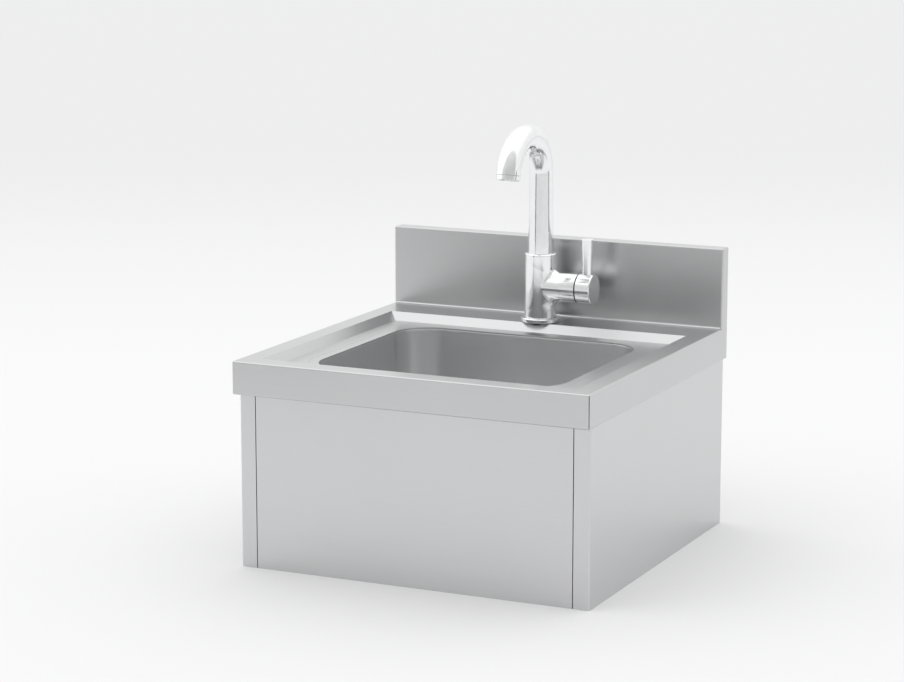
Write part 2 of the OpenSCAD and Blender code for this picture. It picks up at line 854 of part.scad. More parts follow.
// Cast tap body: the column, the side housing and the water ways between its sockets
module tap_body() {
    color("gainsboro") difference() {
        union() {
            translate([0, tap_y, 0]) {
                rod(spigot_r, tap_z - spigot_d, tap_z + cut);
                rod(tap_r, tap_z, tap_top - top_bevel);
                translate([0, 0, tap_top - top_bevel])
                    cylinder(r1 = tap_r, r2 = tap_r - top_bevel, h = top_bevel);
            }
            on_lever_axis() rod(housing_r, 0, housing_end);
            housing_blend();
        }
        translate([0, tap_y, 0]) {
            rod(shank_r, tap_z - shank_socket, shank_top);
            rod(spout_r + spout_gap, socket_z, tap_top + cut);
            for (x = [-inlet_x, inlet_x]) translate([x, 0, 0])
                rod(port_r, shank_top - cut, x < 0 ? axis_z + port_up : axis_z - port_down);
            rod(outlet_port_r, axis_z + outlet_port_up, socket_z + cut);
        }
        on_lever_axis() {
            rod(chamber_bore_r, chamber_x, housing_end + cut);
            rod(collar_r, collar_step, housing_end + cut);
            translate([-port_up, 0, 0]) rod(port_r, -inlet_x, chamber_x + cut);
            translate([port_down, 0, 0]) rod(port_r, inlet_x, chamber_x + cut);
            translate([-outlet_port_up, 0, 0]) rod(outlet_port_r, 0, chamber_x + cut);
        }
        translate([pivot_x, tap_y, axis_z]) sphere(r = ball_r + ball_gap);
        translate([0, tap_y, catch_z]) rotate([-90, 0, 0]) rod(grub_r, spout_r - 1, tap_r + cut);
    }
}

// Rounded saddle where the side housing leaves the column
module housing_blend() {
    ball = blend_r - 1;
    on_lever_axis() difference() {
        translate([0, 0, tap_r - blend_root])
            cylinder(r = housing_r + ball / 5, h = blend_root + ball / 2);
        translate([0, 0, tap_r + ball * 2 / 3]) rotate_extrude()
            translate([housing_r + ball, 0]) circle(r = ball);
    }
}

// Threaded shank with the two inlets side by side in its foot
module tap_shank() {
    color("goldenrod") translate([0, tap_y, 0]) difference() {
        rod(shank_r, shank_low, shank_top);
        for (x = [-inlet_x, inlet_x]) translate([x, 0, 0]) {
            rod(inlet_r, shank_low - cut, shank_low + inlet_len);
            rod(port_r, shank_low, shank_top + cut);
        }
    }
}

// The horseshoe outline of the clamping parts, open and cut straight at the front
module horseshoe(r) {
    difference() {
        intersection() {
            circle(r = r);
            translate([-r, -tap_hole_r]) square([2 * r, 2 * r]);
        }
        circle(r = clamp_slot_r);
        translate([-clamp_slot_r, -r]) square([2 * clamp_slot_r, r]);
    }
}

// Rubber pad of the tap's clamp
module tap_clamp_seal() {
    color("black") translate([0, tap_y, clamp_seal_z])
        linear_extrude(clamp_seal_t) horseshoe(clamp_r);
}

// Steel horseshoe plate of the tap's clamp
module tap_clamp_plate() {
    color("silver") translate([0, tap_y, clamp_plate_z])
        linear_extrude(clamp_plate_t) horseshoe(clamp_r);
}

// Hexagon nut on the shank
module tap_nut() {
    color("goldenrod") translate([0, tap_y, 0]) difference() {
        rotate([0, 0, 30]) hexagon(tap_nut_af, clamp_plate_z - tap_nut_t, clamp_plate_z);
        rod(shank_r, clamp_plate_z - tap_nut_t - cut, clamp_plate_z + cut);
    }
}

// Ceramic cartridge with its three ports and the seat of the turret
module cartridge() {
    color("ivory") on_lever_axis() difference() {
        rod(chamber_bore_r - turret_gap, chamber_x, cartridge_end);
        rod(turret_r + turret_gap, turret_x, cartridge_end + cut);
        for (down = [-port_up, port_down]) translate([down, 0, 0])
            rod(port_r, chamber_x - cut, chamber_x + port_depth);
        translate([-outlet_port_up, 0, 0])
            rod(outlet_port_r, chamber_x - cut, chamber_x + port_depth);
    }
}

// Threaded ring that holds the cartridge in the housing
module cartridge_nut() {
    color("goldenrod") on_lever_axis()
        tube(chamber_bore_r, cartridge_nut_bore_r, cartridge_end, nut_end);
}

// Black collar with a dished face, which shows as the dark seam behind the cap
module seam_collar() {
    color("black") difference() {
        on_lever_axis() difference() {
            union() {
                rod(chamber_bore_r, nut_end, housing_end);
                rod(collar_r, collar_step, housing_end);
            }
            rod(collar_bore_r, nut_end - cut, housing_end + cut);
        }
        translate([pivot_x, tap_y, axis_z]) sphere(r = ball_r + ball_gap);
    }
}

// Bearing ring under the spout's foot
module spout_bearing() {
    color("white") translate([0, tap_y, 0])
        tube(spout_r, spout_bore_r, socket_z, socket_z + bearing_t);
}

// Screw at the back whose tip runs in the spout's groove
module spout_grub_screw() {
    color("dimgray") translate([0, tap_y, catch_z]) rotate([-90, 0, 0]) difference() {
        union() {
            rod(grub_r, spout_r + grub_end_gap, tap_r - grub_in);
            rod(catch_tip_r, spout_r - catch_depth + catch_tip_gap, spout_r + catch_tip_gap);
        }
        hexagon(grub_key_af, tap_r - grub_in - grub_key_d, tap_r);
    }
}

// Moves what is drawn at the end of the spout's bend into place, with +Z along the water
module at_outlet() {
    translate([0, tap_y - spout_bend_r, bend_z]) rotate([90, 0, 90])
        rotate([0, 0, spout_sweep]) translate([spout_bend_r, 0, 0])
            rotate([-90, 0, 0]) children();
}

// A ring-shaped cut round the spout's foot: its middle, half its height and its depth
module foot_groove(z, half, depth) {
    translate([spout_r - depth, z - half]) square([depth + cut, 2 * half]);
}

// Swivelling spout: the grooved foot, the tapering riser and the bend
module spout() {
    taper_z = tap_top + spout_straight;
    color("gainsboro") {
        translate([0, tap_y, 0]) rotate_extrude() difference() {
            polygon([
                [spout_bore_r, spout_foot], [spout_r, spout_foot], [spout_r, taper_z],
                [bend_tube_r, bend_z], [spout_bore_r, bend_z]
            ]);
            for (z = groove_z) foot_groove(z, groove_half, groove_depth);
            foot_groove(catch_z, catch_half, catch_depth);
        }
        translate([0, tap_y - spout_bend_r, bend_z]) rotate([90, 0, 90])
            rotate_extrude(angle = spout_sweep) translate([spout_bend_r, 0]) difference() {
                circle(r = bend_tube_r);
                circle(r = spout_bore_r);
            }
    }
}

// Two rubber rings in the spout's grooves
module spout_o_rings() {
    color("black") translate([0, tap_y, 0]) for (z = groove_z) translate([0, 0, z])
        rotate_extrude() translate([spout_r - o_ring_r, 0]) circle(r = o_ring_r);
}

// Outlet collar that screws into the spout
module aerator_shell() {
    edge = aerator_bevel;
    color("gainsboro") at_outlet() difference() {
        union() {
            rod(aerator_thread_r, -aerator_thread_len, edge);
            translate([0, 0, seam_t])
                cylinder(r1 = aerator_r - seam_bevel, r2 = aerator_r, h = edge - seam_t);
            rod(aerator_r, edge, aerator_len - edge);
            translate([0, 0, aerator_len - edge])
                cylinder(r1 = aerator_r, r2 = aerator_r - edge, h = edge);
        }
        rod(aerator_bore_r, -aerator_thread_len - cut, aerator_len + cut);
    }
}

// Moulded jet former inside the outlet collar, with a ring of water slots
module aerator_insert() {
    color("lightgray") at_outlet() difference() {
        rod(aerator_bore_r, -aerator_thread_len + jet_top_in, aerator_len - jet_face_in);
        ring_of(jet_count, jet_ring_r) rod(jet_r, -aerator_thread_len, aerator_len);
        rod(jet_centre_r, -aerator_thread_len, aerator_len);
    }
}

// Turret that the stem turns in the cartridge; the stem tilts in its slot
module cartridge_turret() {
    slot_half = stem_r + stem_gap;
    color("white") difference() {
        on_lever_axis() rod(turret_r, turret_x + turret_lift, turret_end);
        span([stem_x - turret_slot_back, tap_y - slot_half, axis_z - slot_half - turret_slot_down],
            [turret_end + cut, tap_y + slot_half, axis_z + turret_r - turret_slot_wall]);
    }
}

// Pin that joins the handle to the turret
module handle_stem() {
    color("silver") on_lever_axis() {
        rod(stem_r, stem_x + stem_bevel, stem_end);
        translate([0, 0, stem_x]) cylinder(r1 = stem_r - stem_bevel, r2 = stem_r, h = stem_bevel);
    }
}

// Round handle cap with a ball-shaped back edge and a chamfered face
module handle_cap() {
    color("gainsboro") difference() {
        union() {
            intersection() {
                on_lever_axis() rod(cap_r, cap_back_x, cap_core_x + cut);
                translate([pivot_x, tap_y, axis_z]) sphere(r = ball_r);
            }
            on_lever_axis() {
                rod(cap_r, cap_core_x, cap_end - top_bevel);
                translate([0, 0, cap_end - top_bevel])
                    cylinder(r1 = cap_r, r2 = cap_r - top_bevel, h = top_bevel);
            }
        }
        on_lever_axis() {
            difference() {
                rod(cap_r - cap_wall, cap_hollow_x, cap_core_x);
                rod(boss_r, cap_x, cap_core_x + cut);
            }
            rod(stem_r, cap_hollow_x, stem_end);
        }
        translate([pivot_x, tap_y, 0]) {
            rod(spigot_in, lever_seat_z, axis_z + cap_r + cut);
            rod(grub_r, axis_z - cap_r - cut, axis_z);
        }
    }
}

// Screw under the cap that locks it on the stem
module handle_grub_screw() {
    color("dimgray") translate([pivot_x, tap_y, 0]) difference() {
        rod(grub_r, axis_z - cap_r + cap_grub_in, axis_z - stem_r);
        hexagon(grub_key_af, axis_z - cap_r, axis_z - cap_r + cap_grub_in + grub_key_d);
    }
}

// Conical lever that stands on the cap
module lever() {
    color("gainsboro") {
        difference() {
            translate([pivot_x, tap_y, axis_z + cap_r - lever_root])
                cylinder(r1 = lever_foot_r, r2 = lever_top_r, h = lever_len - cap_r + lever_root);
            on_lever_axis() rod(cap_r, cap_x, cap_end);
        }
        translate([pivot_x, tap_y, 0]) rod(spigot_in, lever_seat_z, axis_z + cap_r + 1);
    }
}

worktop();
bowl();
damping_pad();
left_side_panel();
right_side_panel();
front_fascia();
rear_panel();
fascia_screws();
fascia_spacers();
fascia_nuts();
rear_screws();
rear_nuts();
worktop_studs();
worktop_nuts();
waste_top_seal();
waste_cup();
waste_lower_seal();
waste_body();
waste_insert();
waste_screw();
strainer_basket();
strainer_knob();
strainer_seal();
tap_gasket();
tap_base_ring();
tap_body();
tap_shank();
tap_clamp_seal();
tap_clamp_plate();
tap_nut();
cartridge();
cartridge_nut();
seam_collar();
spout_bearing();
spout_grub_screw();
spout();
spout_o_rings();
aerator_shell();
aerator_insert();
cartridge_turret();
handle_stem();
handle_cap();
handle_grub_screw();
lever();
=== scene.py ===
"""Dishwashing sink unit: a folded steel cabinet with a sunk drip area, a deep bowl, a basket
waste and a side-lever mixer tap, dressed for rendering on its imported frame."""

import json
from contextlib import contextmanager
from math import atan2, cos, pi, radians, sin

import bmesh
import bpy
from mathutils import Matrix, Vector

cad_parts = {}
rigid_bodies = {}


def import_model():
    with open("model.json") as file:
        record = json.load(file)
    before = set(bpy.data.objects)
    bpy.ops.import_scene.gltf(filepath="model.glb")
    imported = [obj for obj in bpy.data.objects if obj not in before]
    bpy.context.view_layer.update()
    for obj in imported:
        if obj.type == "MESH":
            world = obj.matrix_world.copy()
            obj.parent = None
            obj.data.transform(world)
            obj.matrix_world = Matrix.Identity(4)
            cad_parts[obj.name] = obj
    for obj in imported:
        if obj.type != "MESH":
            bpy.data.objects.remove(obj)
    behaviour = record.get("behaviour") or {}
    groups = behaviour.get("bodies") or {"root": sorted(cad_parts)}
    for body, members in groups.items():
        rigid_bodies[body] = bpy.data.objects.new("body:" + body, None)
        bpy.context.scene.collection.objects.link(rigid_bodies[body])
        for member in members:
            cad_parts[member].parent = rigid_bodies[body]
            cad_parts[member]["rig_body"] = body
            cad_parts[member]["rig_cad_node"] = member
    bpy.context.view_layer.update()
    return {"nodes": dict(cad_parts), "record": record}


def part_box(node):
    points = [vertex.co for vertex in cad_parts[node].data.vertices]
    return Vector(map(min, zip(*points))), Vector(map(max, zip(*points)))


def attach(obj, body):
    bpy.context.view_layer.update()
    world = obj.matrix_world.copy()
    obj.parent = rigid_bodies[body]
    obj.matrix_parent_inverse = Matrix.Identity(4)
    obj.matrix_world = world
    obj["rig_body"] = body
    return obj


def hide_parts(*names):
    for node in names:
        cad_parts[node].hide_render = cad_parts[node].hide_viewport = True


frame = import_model()
NODES = frame["nodes"]
MM = 0.001
SAME_POINT = 0.002 * MM

RING_LOW, RING_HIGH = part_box("tap_base_ring")
TAP = (RING_LOW + RING_HIGH) / 2
CAP_LOW, CAP_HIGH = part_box("handle_cap")
LEVER_LOW, LEVER_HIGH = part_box("lever")
AXIS_Z = (CAP_LOW.z + CAP_HIGH.z) / 2
PIVOT_X = (LEVER_LOW.x + LEVER_HIGH.x) / 2
FLANGE_LOW, FLANGE_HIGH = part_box("waste_cup")
DRAIN = (FLANGE_LOW + FLANGE_HIGH) / 2

bl_info = {
    "name": "Sink unit dressing",
    "version": (1, 0, 0),
    "blender": (4, 5, 0),
    "location": "3D View > Sidebar > Sink unit",
    "description": "Dresses the sink unit's packed frame with finishes, fine pieces and a studio",
    "category": "Object",
}


class SteelSettings(bpy.types.PropertyGroup):
    """Tones of the unit's sheet steel."""

    worktop_tone: bpy.props.FloatVectorProperty(
        name="Worktop", description="Colour of the worktop sheet",
        subtype="COLOR", size=3, min=0.0, max=1.0, default=(0.585, 0.588, 0.592))
    # Painted shade: the upstand's front is the same sheet as the worktop, given this darker tone
    # to stand in for the shade it shows.
    upstand_shade_tone: bpy.props.FloatVectorProperty(
        name="Upstand", description="Colour of the front of the worktop's upstand",
        subtype="COLOR", size=3, min=0.0, max=1.0, default=(0.54, 0.543, 0.547))
    # Painted light: the bowl is the same stainless as the worktop, given this lighter tone to
    # stand in for the light its deep walls lose.
    bowl_painted_light_tone: bpy.props.FloatVectorProperty(
        name="Bowl", description="Colour of the deep drawn bowl",
        subtype="COLOR", size=3, min=0.0, max=1.0, default=(0.74, 0.743, 0.747))
    body_tone: bpy.props.FloatVectorProperty(
        name="Body", description="Colour of the cabinet's panels",
        subtype="COLOR", size=3, min=0.0, max=1.0, default=(0.63, 0.633, 0.637))
    roughness: bpy.props.FloatProperty(
        name="Roughness", description="How much the satin sheet blurs what it mirrors",
        subtype="FACTOR", min=0.0, max=1.0, default=0.3)
    bowl_roughness: bpy.props.FloatProperty(
        name="Bowl roughness", description="How much the drawn bowl blurs what it mirrors",
        subtype="FACTOR", min=0.0, max=1.0, default=0.34)
    body_roughness: bpy.props.FloatProperty(
        name="Body roughness", description="How much the cabinet's panels blur what they mirror",
        subtype="FACTOR", min=0.0, max=1.0, default=0.3)
    grain: bpy.props.FloatProperty(
        name="Grain", description="Depth of the fine grinding lines",
        subtype="FACTOR", min=0.0, max=1.0, default=0.12)
    lip_radius: bpy.props.FloatProperty(
        name="Lip radius", description="Outside radius of the bend from the drip area to the bowl",
        subtype="DISTANCE", unit="LENGTH", min=0.0018, max=0.005, default=0.003)
    mouth_reach: bpy.props.FloatProperty(
        name="Mouth reach", description="Distance from the bowl's wall to its mouth's cut edge",
        subtype="DISTANCE", unit="LENGTH", min=0.0001, max=0.001, default=0.0002)
    mouth_edge: bpy.props.FloatProperty(
        name="Mouth edge", description="Height of the cut edge round the bowl's mouth",
        subtype="DISTANCE", unit="LENGTH", min=0.0008, max=0.0025, default=0.0021)
    seam_width: bpy.props.FloatProperty(
        name="Seam width", description="Width of the open seams at the apron's front corners",
        subtype="DISTANCE", unit="LENGTH", min=0.0003, max=0.0015, default=0.0008)
    edge_rounding: bpy.props.FloatProperty(
        name="Edge rounding", description="Radius of the broken edges of the sheets",
        subtype="DISTANCE", unit="LENGTH", min=0.0001, max=0.0007, default=0.0003)


class TapSettings(bpy.types.PropertyGroup):
    """Sizes and finishes of the tap."""

    column_radius: bpy.props.FloatProperty(
        name="Column radius", description="Radius of the tap's upright column",
        subtype="DISTANCE", unit="LENGTH", min=0.019, max=0.022, default=0.02)
    housing_radius: bpy.props.FloatProperty(
        name="Housing radius", description="Radius of the tap's side housing",
        subtype="DISTANCE", unit="LENGTH", min=0.0178, max=0.0185, default=0.01825)
    saddle_radius: bpy.props.FloatProperty(
        name="Saddle radius", description="Radius of the rounding between column and housing",
        subtype="DISTANCE", unit="LENGTH", min=0.002, max=0.009, default=0.007)
    spout_radius: bpy.props.FloatProperty(
        name="Spout radius", description="Radius of the spout's tube at the column",
        subtype="DISTANCE", unit="LENGTH", min=0.015, max=0.017, default=0.016)
    bend_radius: bpy.props.FloatProperty(
        name="Bend radius", description="Radius of the spout's bend",
        subtype="DISTANCE", unit="LENGTH", min=0.045, max=0.06, default=0.051)
    spout_sweep: bpy.props.FloatProperty(
        name="Spout sweep", description="Turn of the bend from the riser to the outlet",
        subtype="ANGLE", unit="ROTATION", default=radians(169))
    lever_foot_radius: bpy.props.FloatProperty(
        name="Lever foot radius", description="Radius of the lever where it stands on the cap",
        subtype="DISTANCE", unit="LENGTH", min=0.004, max=0.008, default=0.00615)
    lever_head_radius: bpy.props.FloatProperty(
        name="Lever head radius", description="Radius of the lever at its free end",
        subtype="DISTANCE", unit="LENGTH", min=0.004, max=0.009, default=0.0075)

    chrome_tone: bpy.props.FloatVectorProperty(
        name="Chrome", description="Colour of the plated metal",
        subtype="COLOR", size=3, min=0.0, max=1.0, default=(0.88, 0.885, 0.89))
    roughness: bpy.props.FloatProperty(
        name="Roughness", description="Blur of the plated metal",
        subtype="FACTOR", min=0.0, max=1.0, default=0.11)


class StudioSettings(bpy.types.PropertyGroup):
    """Camera, floor and light of the studio."""

    azimuth: bpy.props.FloatProperty(
        name="Azimuth", description="Direction of the camera, from the front to the right",
        subtype="ANGLE", default=radians(25.083))
    elevation: bpy.props.FloatProperty(
        name="Elevation", description="Height of the camera above the horizon",
        subtype="ANGLE", default=radians(10.967))
    distance: bpy.props.FloatProperty(
        name="Distance", description="Distance from the camera to its target",
        subtype="DISTANCE", unit="LENGTH", min=0.5, default=3.25814)
    target: bpy.props.FloatVectorProperty(
        name="Target", description="Point that the camera looks at",
        subtype="TRANSLATION", unit="LENGTH", size=3, default=(0.0, -0.10072, 0.27037))
    lens: bpy.props.FloatProperty(
        name="Lens", description="Focal length on a 36 mm wide sensor",
        subtype="DISTANCE_CAMERA", min=10.0, default=110.91)
    floor_tone: bpy.props.FloatVectorProperty(
        name="Floor", description="Colour of the studio floor",
        subtype="COLOR", size=3, min=0.0, max=1.0, default=(0.84, 0.84, 0.845))
    far_dim: bpy.props.FloatProperty(
        name="Far dim", description="Part of the floor's tone that is lost far behind the object",
        subtype="FACTOR", min=0.0, max=1.0, default=0.115)
    horizon_light: bpy.props.FloatProperty(
        name="Horizon light", description="Strength of the light from the sides and the back",
        min=0.0, default=0.97)
    overhead_light: bpy.props.FloatProperty(
        name="Overhead light", description="Strength of the light from above",
        min=0.0, default=1.36)
    front_dim: bpy.props.FloatProperty(
        name="Front dim", description="Part of the low light that is missing on the camera's side",
        subtype="FACTOR", min=0.0, max=1.0, default=0.38)
    screen_tone: bpy.props.FloatProperty(
        name="Screen", description="Tone of the screen that metal mirrors on the camera's side",
        subtype="FACTOR", min=0.0, max=1.0, default=0.76)
    left_gain: bpy.props.FloatProperty(
        name="Left gain", description="Part that is added to the low light on the left",
        subtype="FACTOR", min=0.0, max=1.0, default=0.2)


def new_material(name):
    """A node material with its tree and its Principled shader."""
    material = bpy.data.materials.new(name)
    material.use_nodes = True
    shader = material.node_tree.nodes["Principled BSDF"]
    return material, material.node_tree, shader


def add_node(tree, kind, **values):
    """A node of the given kind with its properties set."""
    node = tree.nodes.new(kind)
    for name, value in values.items():
        setattr(node, name, value)
    return node


def fill(node, **values):
    """Sets a node's inputs by name; an underscore in a name stands for a space."""
    for name, value in values.items():
        node.inputs[name.replace("_", " ")].default_value = value
    return node


def link(tree, *joints):
    """Joins nodes; each joint is (node, its output, node, its input)."""
    for source, output, target, entry in joints:
        tree.links.new(source.outputs[output], target.inputs[entry])


def ground_grain():
    """Node group of the fine lines that grinding leaves on sheet steel."""
    group = bpy.data.node_groups.new("Ground grain", "ShaderNodeTree")
    face = group.interface
    face.new_socket(name="Tone", in_out="INPUT", socket_type="NodeSocketColor")
    for name, default in (("Roughness", 0.3), ("Spread", 0.05), ("Depth", 0.1),
                          ("Across", 900.0), ("Along", 14.0)):
        socket = face.new_socket(name=name, in_out="INPUT", socket_type="NodeSocketFloat")
        socket.default_value = default
    for name, kind in (("Colour", "NodeSocketColor"), ("Roughness", "NodeSocketFloat"),
                       ("Normal", "NodeSocketVector")):
        face.new_socket(name=name, in_out="OUTPUT", socket_type=kind)
    inside = add_node(group, "NodeGroupInput")
    outside = add_node(group, "NodeGroupOutput")
    place = add_node(group, "ShaderNodeTexCoord")
    scale = add_node(group, "ShaderNodeCombineXYZ")
    stretch = add_node(group, "ShaderNodeVectorMath", operation="MULTIPLY")
    lines = fill(add_node(group, "ShaderNodeTexNoise"), Scale=1.0, Detail=3.0, Roughness=0.6)
    clouds = fill(add_node(group, "ShaderNodeTexNoise"), Scale=7.0, Detail=2.0)
    mixed = add_node(group, "ShaderNodeMath", operation="ADD")
    centred = add_node(group, "ShaderNodeMath", operation="SUBTRACT")
    centred.inputs[1].default_value = 1.0
    spread = add_node(group, "ShaderNodeMath", operation="MULTIPLY_ADD")
    tone_spread = 0.05
    shade = add_node(group, "ShaderNodeMath", operation="MULTIPLY_ADD")
    shade.inputs[1].default_value = tone_spread
    shade.inputs[2].default_value = 1.0
    tint = add_node(group, "ShaderNodeVectorMath", operation="SCALE")
    bump = fill(add_node(group, "ShaderNodeBump"), Distance=0.05 * MM)
    link(group,
         (inside, "Along", scale, "X"),
         (inside, "Across", scale, "Y"),
         (inside, "Across", scale, "Z"),
         (place, "Object", stretch, 0),
         (scale, "Vector", stretch, 1),
         (stretch, "Vector", lines, "Vector"),
         (place, "Object", clouds, "Vector"),
         (lines, "Fac", mixed, 0),
         (clouds, "Fac", mixed, 1),
         (mixed, "Value", centred, 0),
         (centred, "Value", spread, 0),
         (inside, "Spread", spread, 1),
         (inside, "Roughness", spread, 2),
         (spread, "Value", outside, "Roughness"),
         (centred, "Value", shade, 0),
         (inside, "Tone", tint, 0),
         (shade, "Value", tint, "Scale"),
         (tint, "Vector", outside, "Colour"),
         (inside, "Depth", bump, "Strength"),
         (lines, "Fac", bump, "Height"),
         (bump, "Normal", outside, "Normal"))
    return group


def satin_steel(name, tone, roughness, depth, grain):
    """Ground sheet steel in the given tone."""
    material, tree, shader = new_material(name)
    node = add_node(tree, "ShaderNodeGroup", node_tree=grain)
    fill(node, Tone=(*tone, 1.0), Roughness=roughness, Spread=0.06, Depth=depth)
    fill(shader, Metallic=1.0)
    link(tree,
         (node, "Colour", shader, "Base Color"),
         (node, "Roughness", shader, "Roughness"),
         (node, "Normal", shader, "Normal"))
    return material


def mottled(name, tone, roughness, metallic=0.0, size=120.0, depth=0.05):
    """A moulded, rubber or plated finish with a fine mottle in its tone and surface."""
    tone_spread, blur_spread = 0.06, 0.15
    material, tree, shader = new_material(name)
    place = add_node(tree, "ShaderNodeTexCoord")
    noise = fill(add_node(tree, "ShaderNodeTexNoise"), Scale=size, Detail=3.0)
    ramp = fill(add_node(tree, "ShaderNodeMapRange"), To_Min=1.0 - tone_spread,
                To_Max=1.0 + tone_spread)
    tint = add_node(tree, "ShaderNodeVectorMath", operation="SCALE")
    tint.inputs[0].default_value = tone
    blur = fill(add_node(tree, "ShaderNodeMapRange"), To_Min=roughness * (1.0 - blur_spread),
                To_Max=min(1.0, roughness * (1.0 + blur_spread)))
    bump = fill(add_node(tree, "ShaderNodeBump"), Strength=depth, Distance=0.1 * MM)
    fill(shader, Metallic=metallic)
    link(tree,
         (place, "Object", noise, "Vector"),
         (noise, "Fac", ramp, "Value"),
         (ramp, "Result", tint, "Scale"),
         (tint, "Vector", shader, "Base Color"),
         (noise, "Fac", blur, "Value"),
         (blur, "Result", shader, "Roughness"),
         (noise, "Fac", bump, "Height"),
         (bump, "Normal", shader, "Normal"))
    return material


def only(piece):
    """Makes one piece the only one that is selected, and the active one."""
    bpy.ops.object.select_all(action="DESELECT")
    piece.select_set(True)
    bpy.context.view_layer.objects.active = piece
    return piece


@contextmanager
def editing(piece):
    """Opens a piece's mesh in edit mode with all of it selected, and closes it again."""
    only(piece)
    bpy.ops.object.mode_set(mode="EDIT")
    bpy.ops.mesh.select_all(action="SELECT")
    yield
    bpy.ops.object.mode_set(mode="OBJECT")


def pick(piece, kind, test):
    """Selects, in edit mode, the vertices or the edges that pass a test."""
    bpy.ops.mesh.select_mode(type=kind)
    bpy.ops.mesh.select_all(action="DESELECT")
    shape = bmesh.from_edit_mesh(piece.data)
    for part in shape.verts if kind == "VERT" else shape.edges:
        if test(part):
            part.select_set(True)
    shape.select_flush_mode()
    bmesh.update_edit_mesh(piece.data)


def close_skin():
    """Merges, in edit mode, the points that lie together, and turns the faces outwards."""
    bpy.ops.mesh.select_all(action="SELECT")
    bpy.ops.mesh.remove_doubles(threshold=SAME_POINT / 4)
    bpy.ops.mesh.normals_make_consistent(inside=False)


def settle(piece):
    """Applies the piece's place and turn, so that they are in its mesh."""
    only(piece)
    bpy.ops.object.transform_apply(location=True, rotation=True, scale=True)
    return piece


def apply(piece, kind, **values):
    """Adds a modifier with the given values and applies it."""
    only(piece)
    modifier = piece.modifiers.new(kind.title(), kind)
    for name, value in values.items():
        setattr(modifier, name, value)
    bpy.ops.object.modifier_apply(modifier=modifier.name)
    return piece


def round_edges(piece, width, segments=2, sharp=25.0):
    """Rounds the edges that turn by more than the given degrees."""
    apply(piece, "BEVEL", width=width, segments=segments, limit_method="ANGLE",
          angle_limit=radians(sharp), miter_outer="MITER_ARC", harden_normals=False)
    with editing(piece):
        bpy.ops.mesh.remove_doubles(threshold=SAME_POINT)
    return piece


def smooth(piece, sharp=32.0, even=True):
    """Smooths the shading up to the given degrees, and keeps the flat faces flat."""
    only(piece)
    bpy.ops.object.shade_smooth_by_angle(angle=radians(sharp))
    if even:
        apply(piece, "WEIGHTED_NORMAL", keep_sharp=True, weight=80)
    return piece


def stands_for(piece, name, node):
    """Names a finished piece and gives it the body, slot and finish of the node it replaces."""
    piece.name = name
    piece.data.name = name
    piece.data.materials.clear()
    piece.data.materials.append(NODES[node].data.materials[0])
    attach(piece, NODES[node]["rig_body"])
    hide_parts(node)
    return piece


def second_finish(piece, material, test):
    """Gives the faces that pass a test another material."""
    piece.data.materials.append(bpy.data.materials[material])
    for face in piece.data.polygons:
        if test(face):
            face.material_index = 1


def copied(node):
    """A free copy of a node, with its loose triangles joined into whole faces."""
    only(NODES[node])
    bpy.ops.object.duplicate()
    piece = bpy.context.object
    bpy.ops.object.parent_clear(type="CLEAR")
    del piece["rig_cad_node"], piece["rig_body"]
    bpy.ops.mesh.customdata_custom_splitnormals_clear()
    with editing(piece):
        bpy.ops.mesh.select_mode(type="VERT")
        bpy.ops.mesh.remove_doubles(threshold=SAME_POINT)
        bpy.ops.mesh.dissolve_limited(angle_limit=radians(0.4))
    return piece


def dressed(node, name, rounding, segments=2):
    """A copy of a node with rounded edges, which stands for it."""
    return stands_for(smooth(round_edges(copied(node), rounding, segments)), name, node)


def block(place, size, turn=0.0):
    """A box of the given size round a place, turned about Z."""
    bpy.ops.object.select_all(action="DESELECT")
    bpy.ops.mesh.primitive_cube_add(size=1.0, location=place, rotation=(0.0, 0.0, turn),
                                    scale=size)
    return settle(bpy.context.object)


def circle(count, radius, place, fill_type="NOTHING"):
    """A level circle of points round a place."""
    bpy.ops.object.select_all(action="DESELECT")
    bpy.ops.mesh.primitive_circle_add(vertices=count, radius=radius, fill_type=fill_type,
                                      location=place)
    return bpy.context.object


def skinned(name, points, faces):
    """A piece that is made from its points and faces."""
    mesh = bpy.data.meshes.new(name)
    mesh.from_pydata(points, [], faces)
    piece = bpy.data.objects.new(name, mesh)
    bpy.context.scene.collection.objects.link(piece)
    return piece


def ball_rings(first, last, steps, ball, centre):
    """Rings of (radius, height) on the lower half of a ball, from one radius to another."""
    radii = [first + (last - first) * k / steps for k in range(steps + 1)]
    return [(radius, centre - (ball ** 2 - radius ** 2) ** 0.5) for radius in radii]


def turned(rings, centre, segments=96, solid=False):
    """A shape turned round Z through rings of (radius, height), in millimetres from centre.

    A solid one starts and ends with a flat disc, any other one closes on its first ring."""
    radius, height = rings[0]
    piece = circle(segments, radius * MM, centre + Vector((0.0, 0.0, height * MM)),
                   "NGON" if solid else "NOTHING")
    with editing(piece):
        bpy.ops.mesh.select_mode(type="EDGE")
        if solid:
            pick(piece, "EDGE", lambda edge: edge.is_boundary)
        for wide, high in rings[1:] if solid else rings[1:] + rings[:1]:
            bpy.ops.mesh.extrude_edges_move(
                TRANSFORM_OT_translate={"value": (0.0, 0.0, (high - height) * MM)})
            if wide != radius:
                bpy.ops.transform.resize(
                    value=(wide / radius, wide / radius, 1.0),
                    center_override=centre + Vector((0.0, 0.0, high * MM)))
            radius, height = wide, high
        if solid:
            bpy.ops.mesh.edge_face_add()
        close_skin()
    return settle(piece)


def tipped(piece, place, turn):
    """Turns a piece that was made at the origin and moves it to its place."""
    piece.rotation_euler = turn
    piece.location = place
    return settle(piece)


def merged(pieces):
    """Joins pieces into one."""
    only(pieces[0])
    for piece in pieces[1:]:
        piece.select_set(True)
    bpy.ops.object.join()
    return bpy.context.object


def cut_by(piece, tool, operation="DIFFERENCE"):
    """Cuts a piece with a tool, or adds the tool to it; the tool is used up."""
    apply(piece, "BOOLEAN", operation=operation, object=tool, solver="EXACT")
    only(tool)
    bpy.ops.object.delete()
    return only(piece)


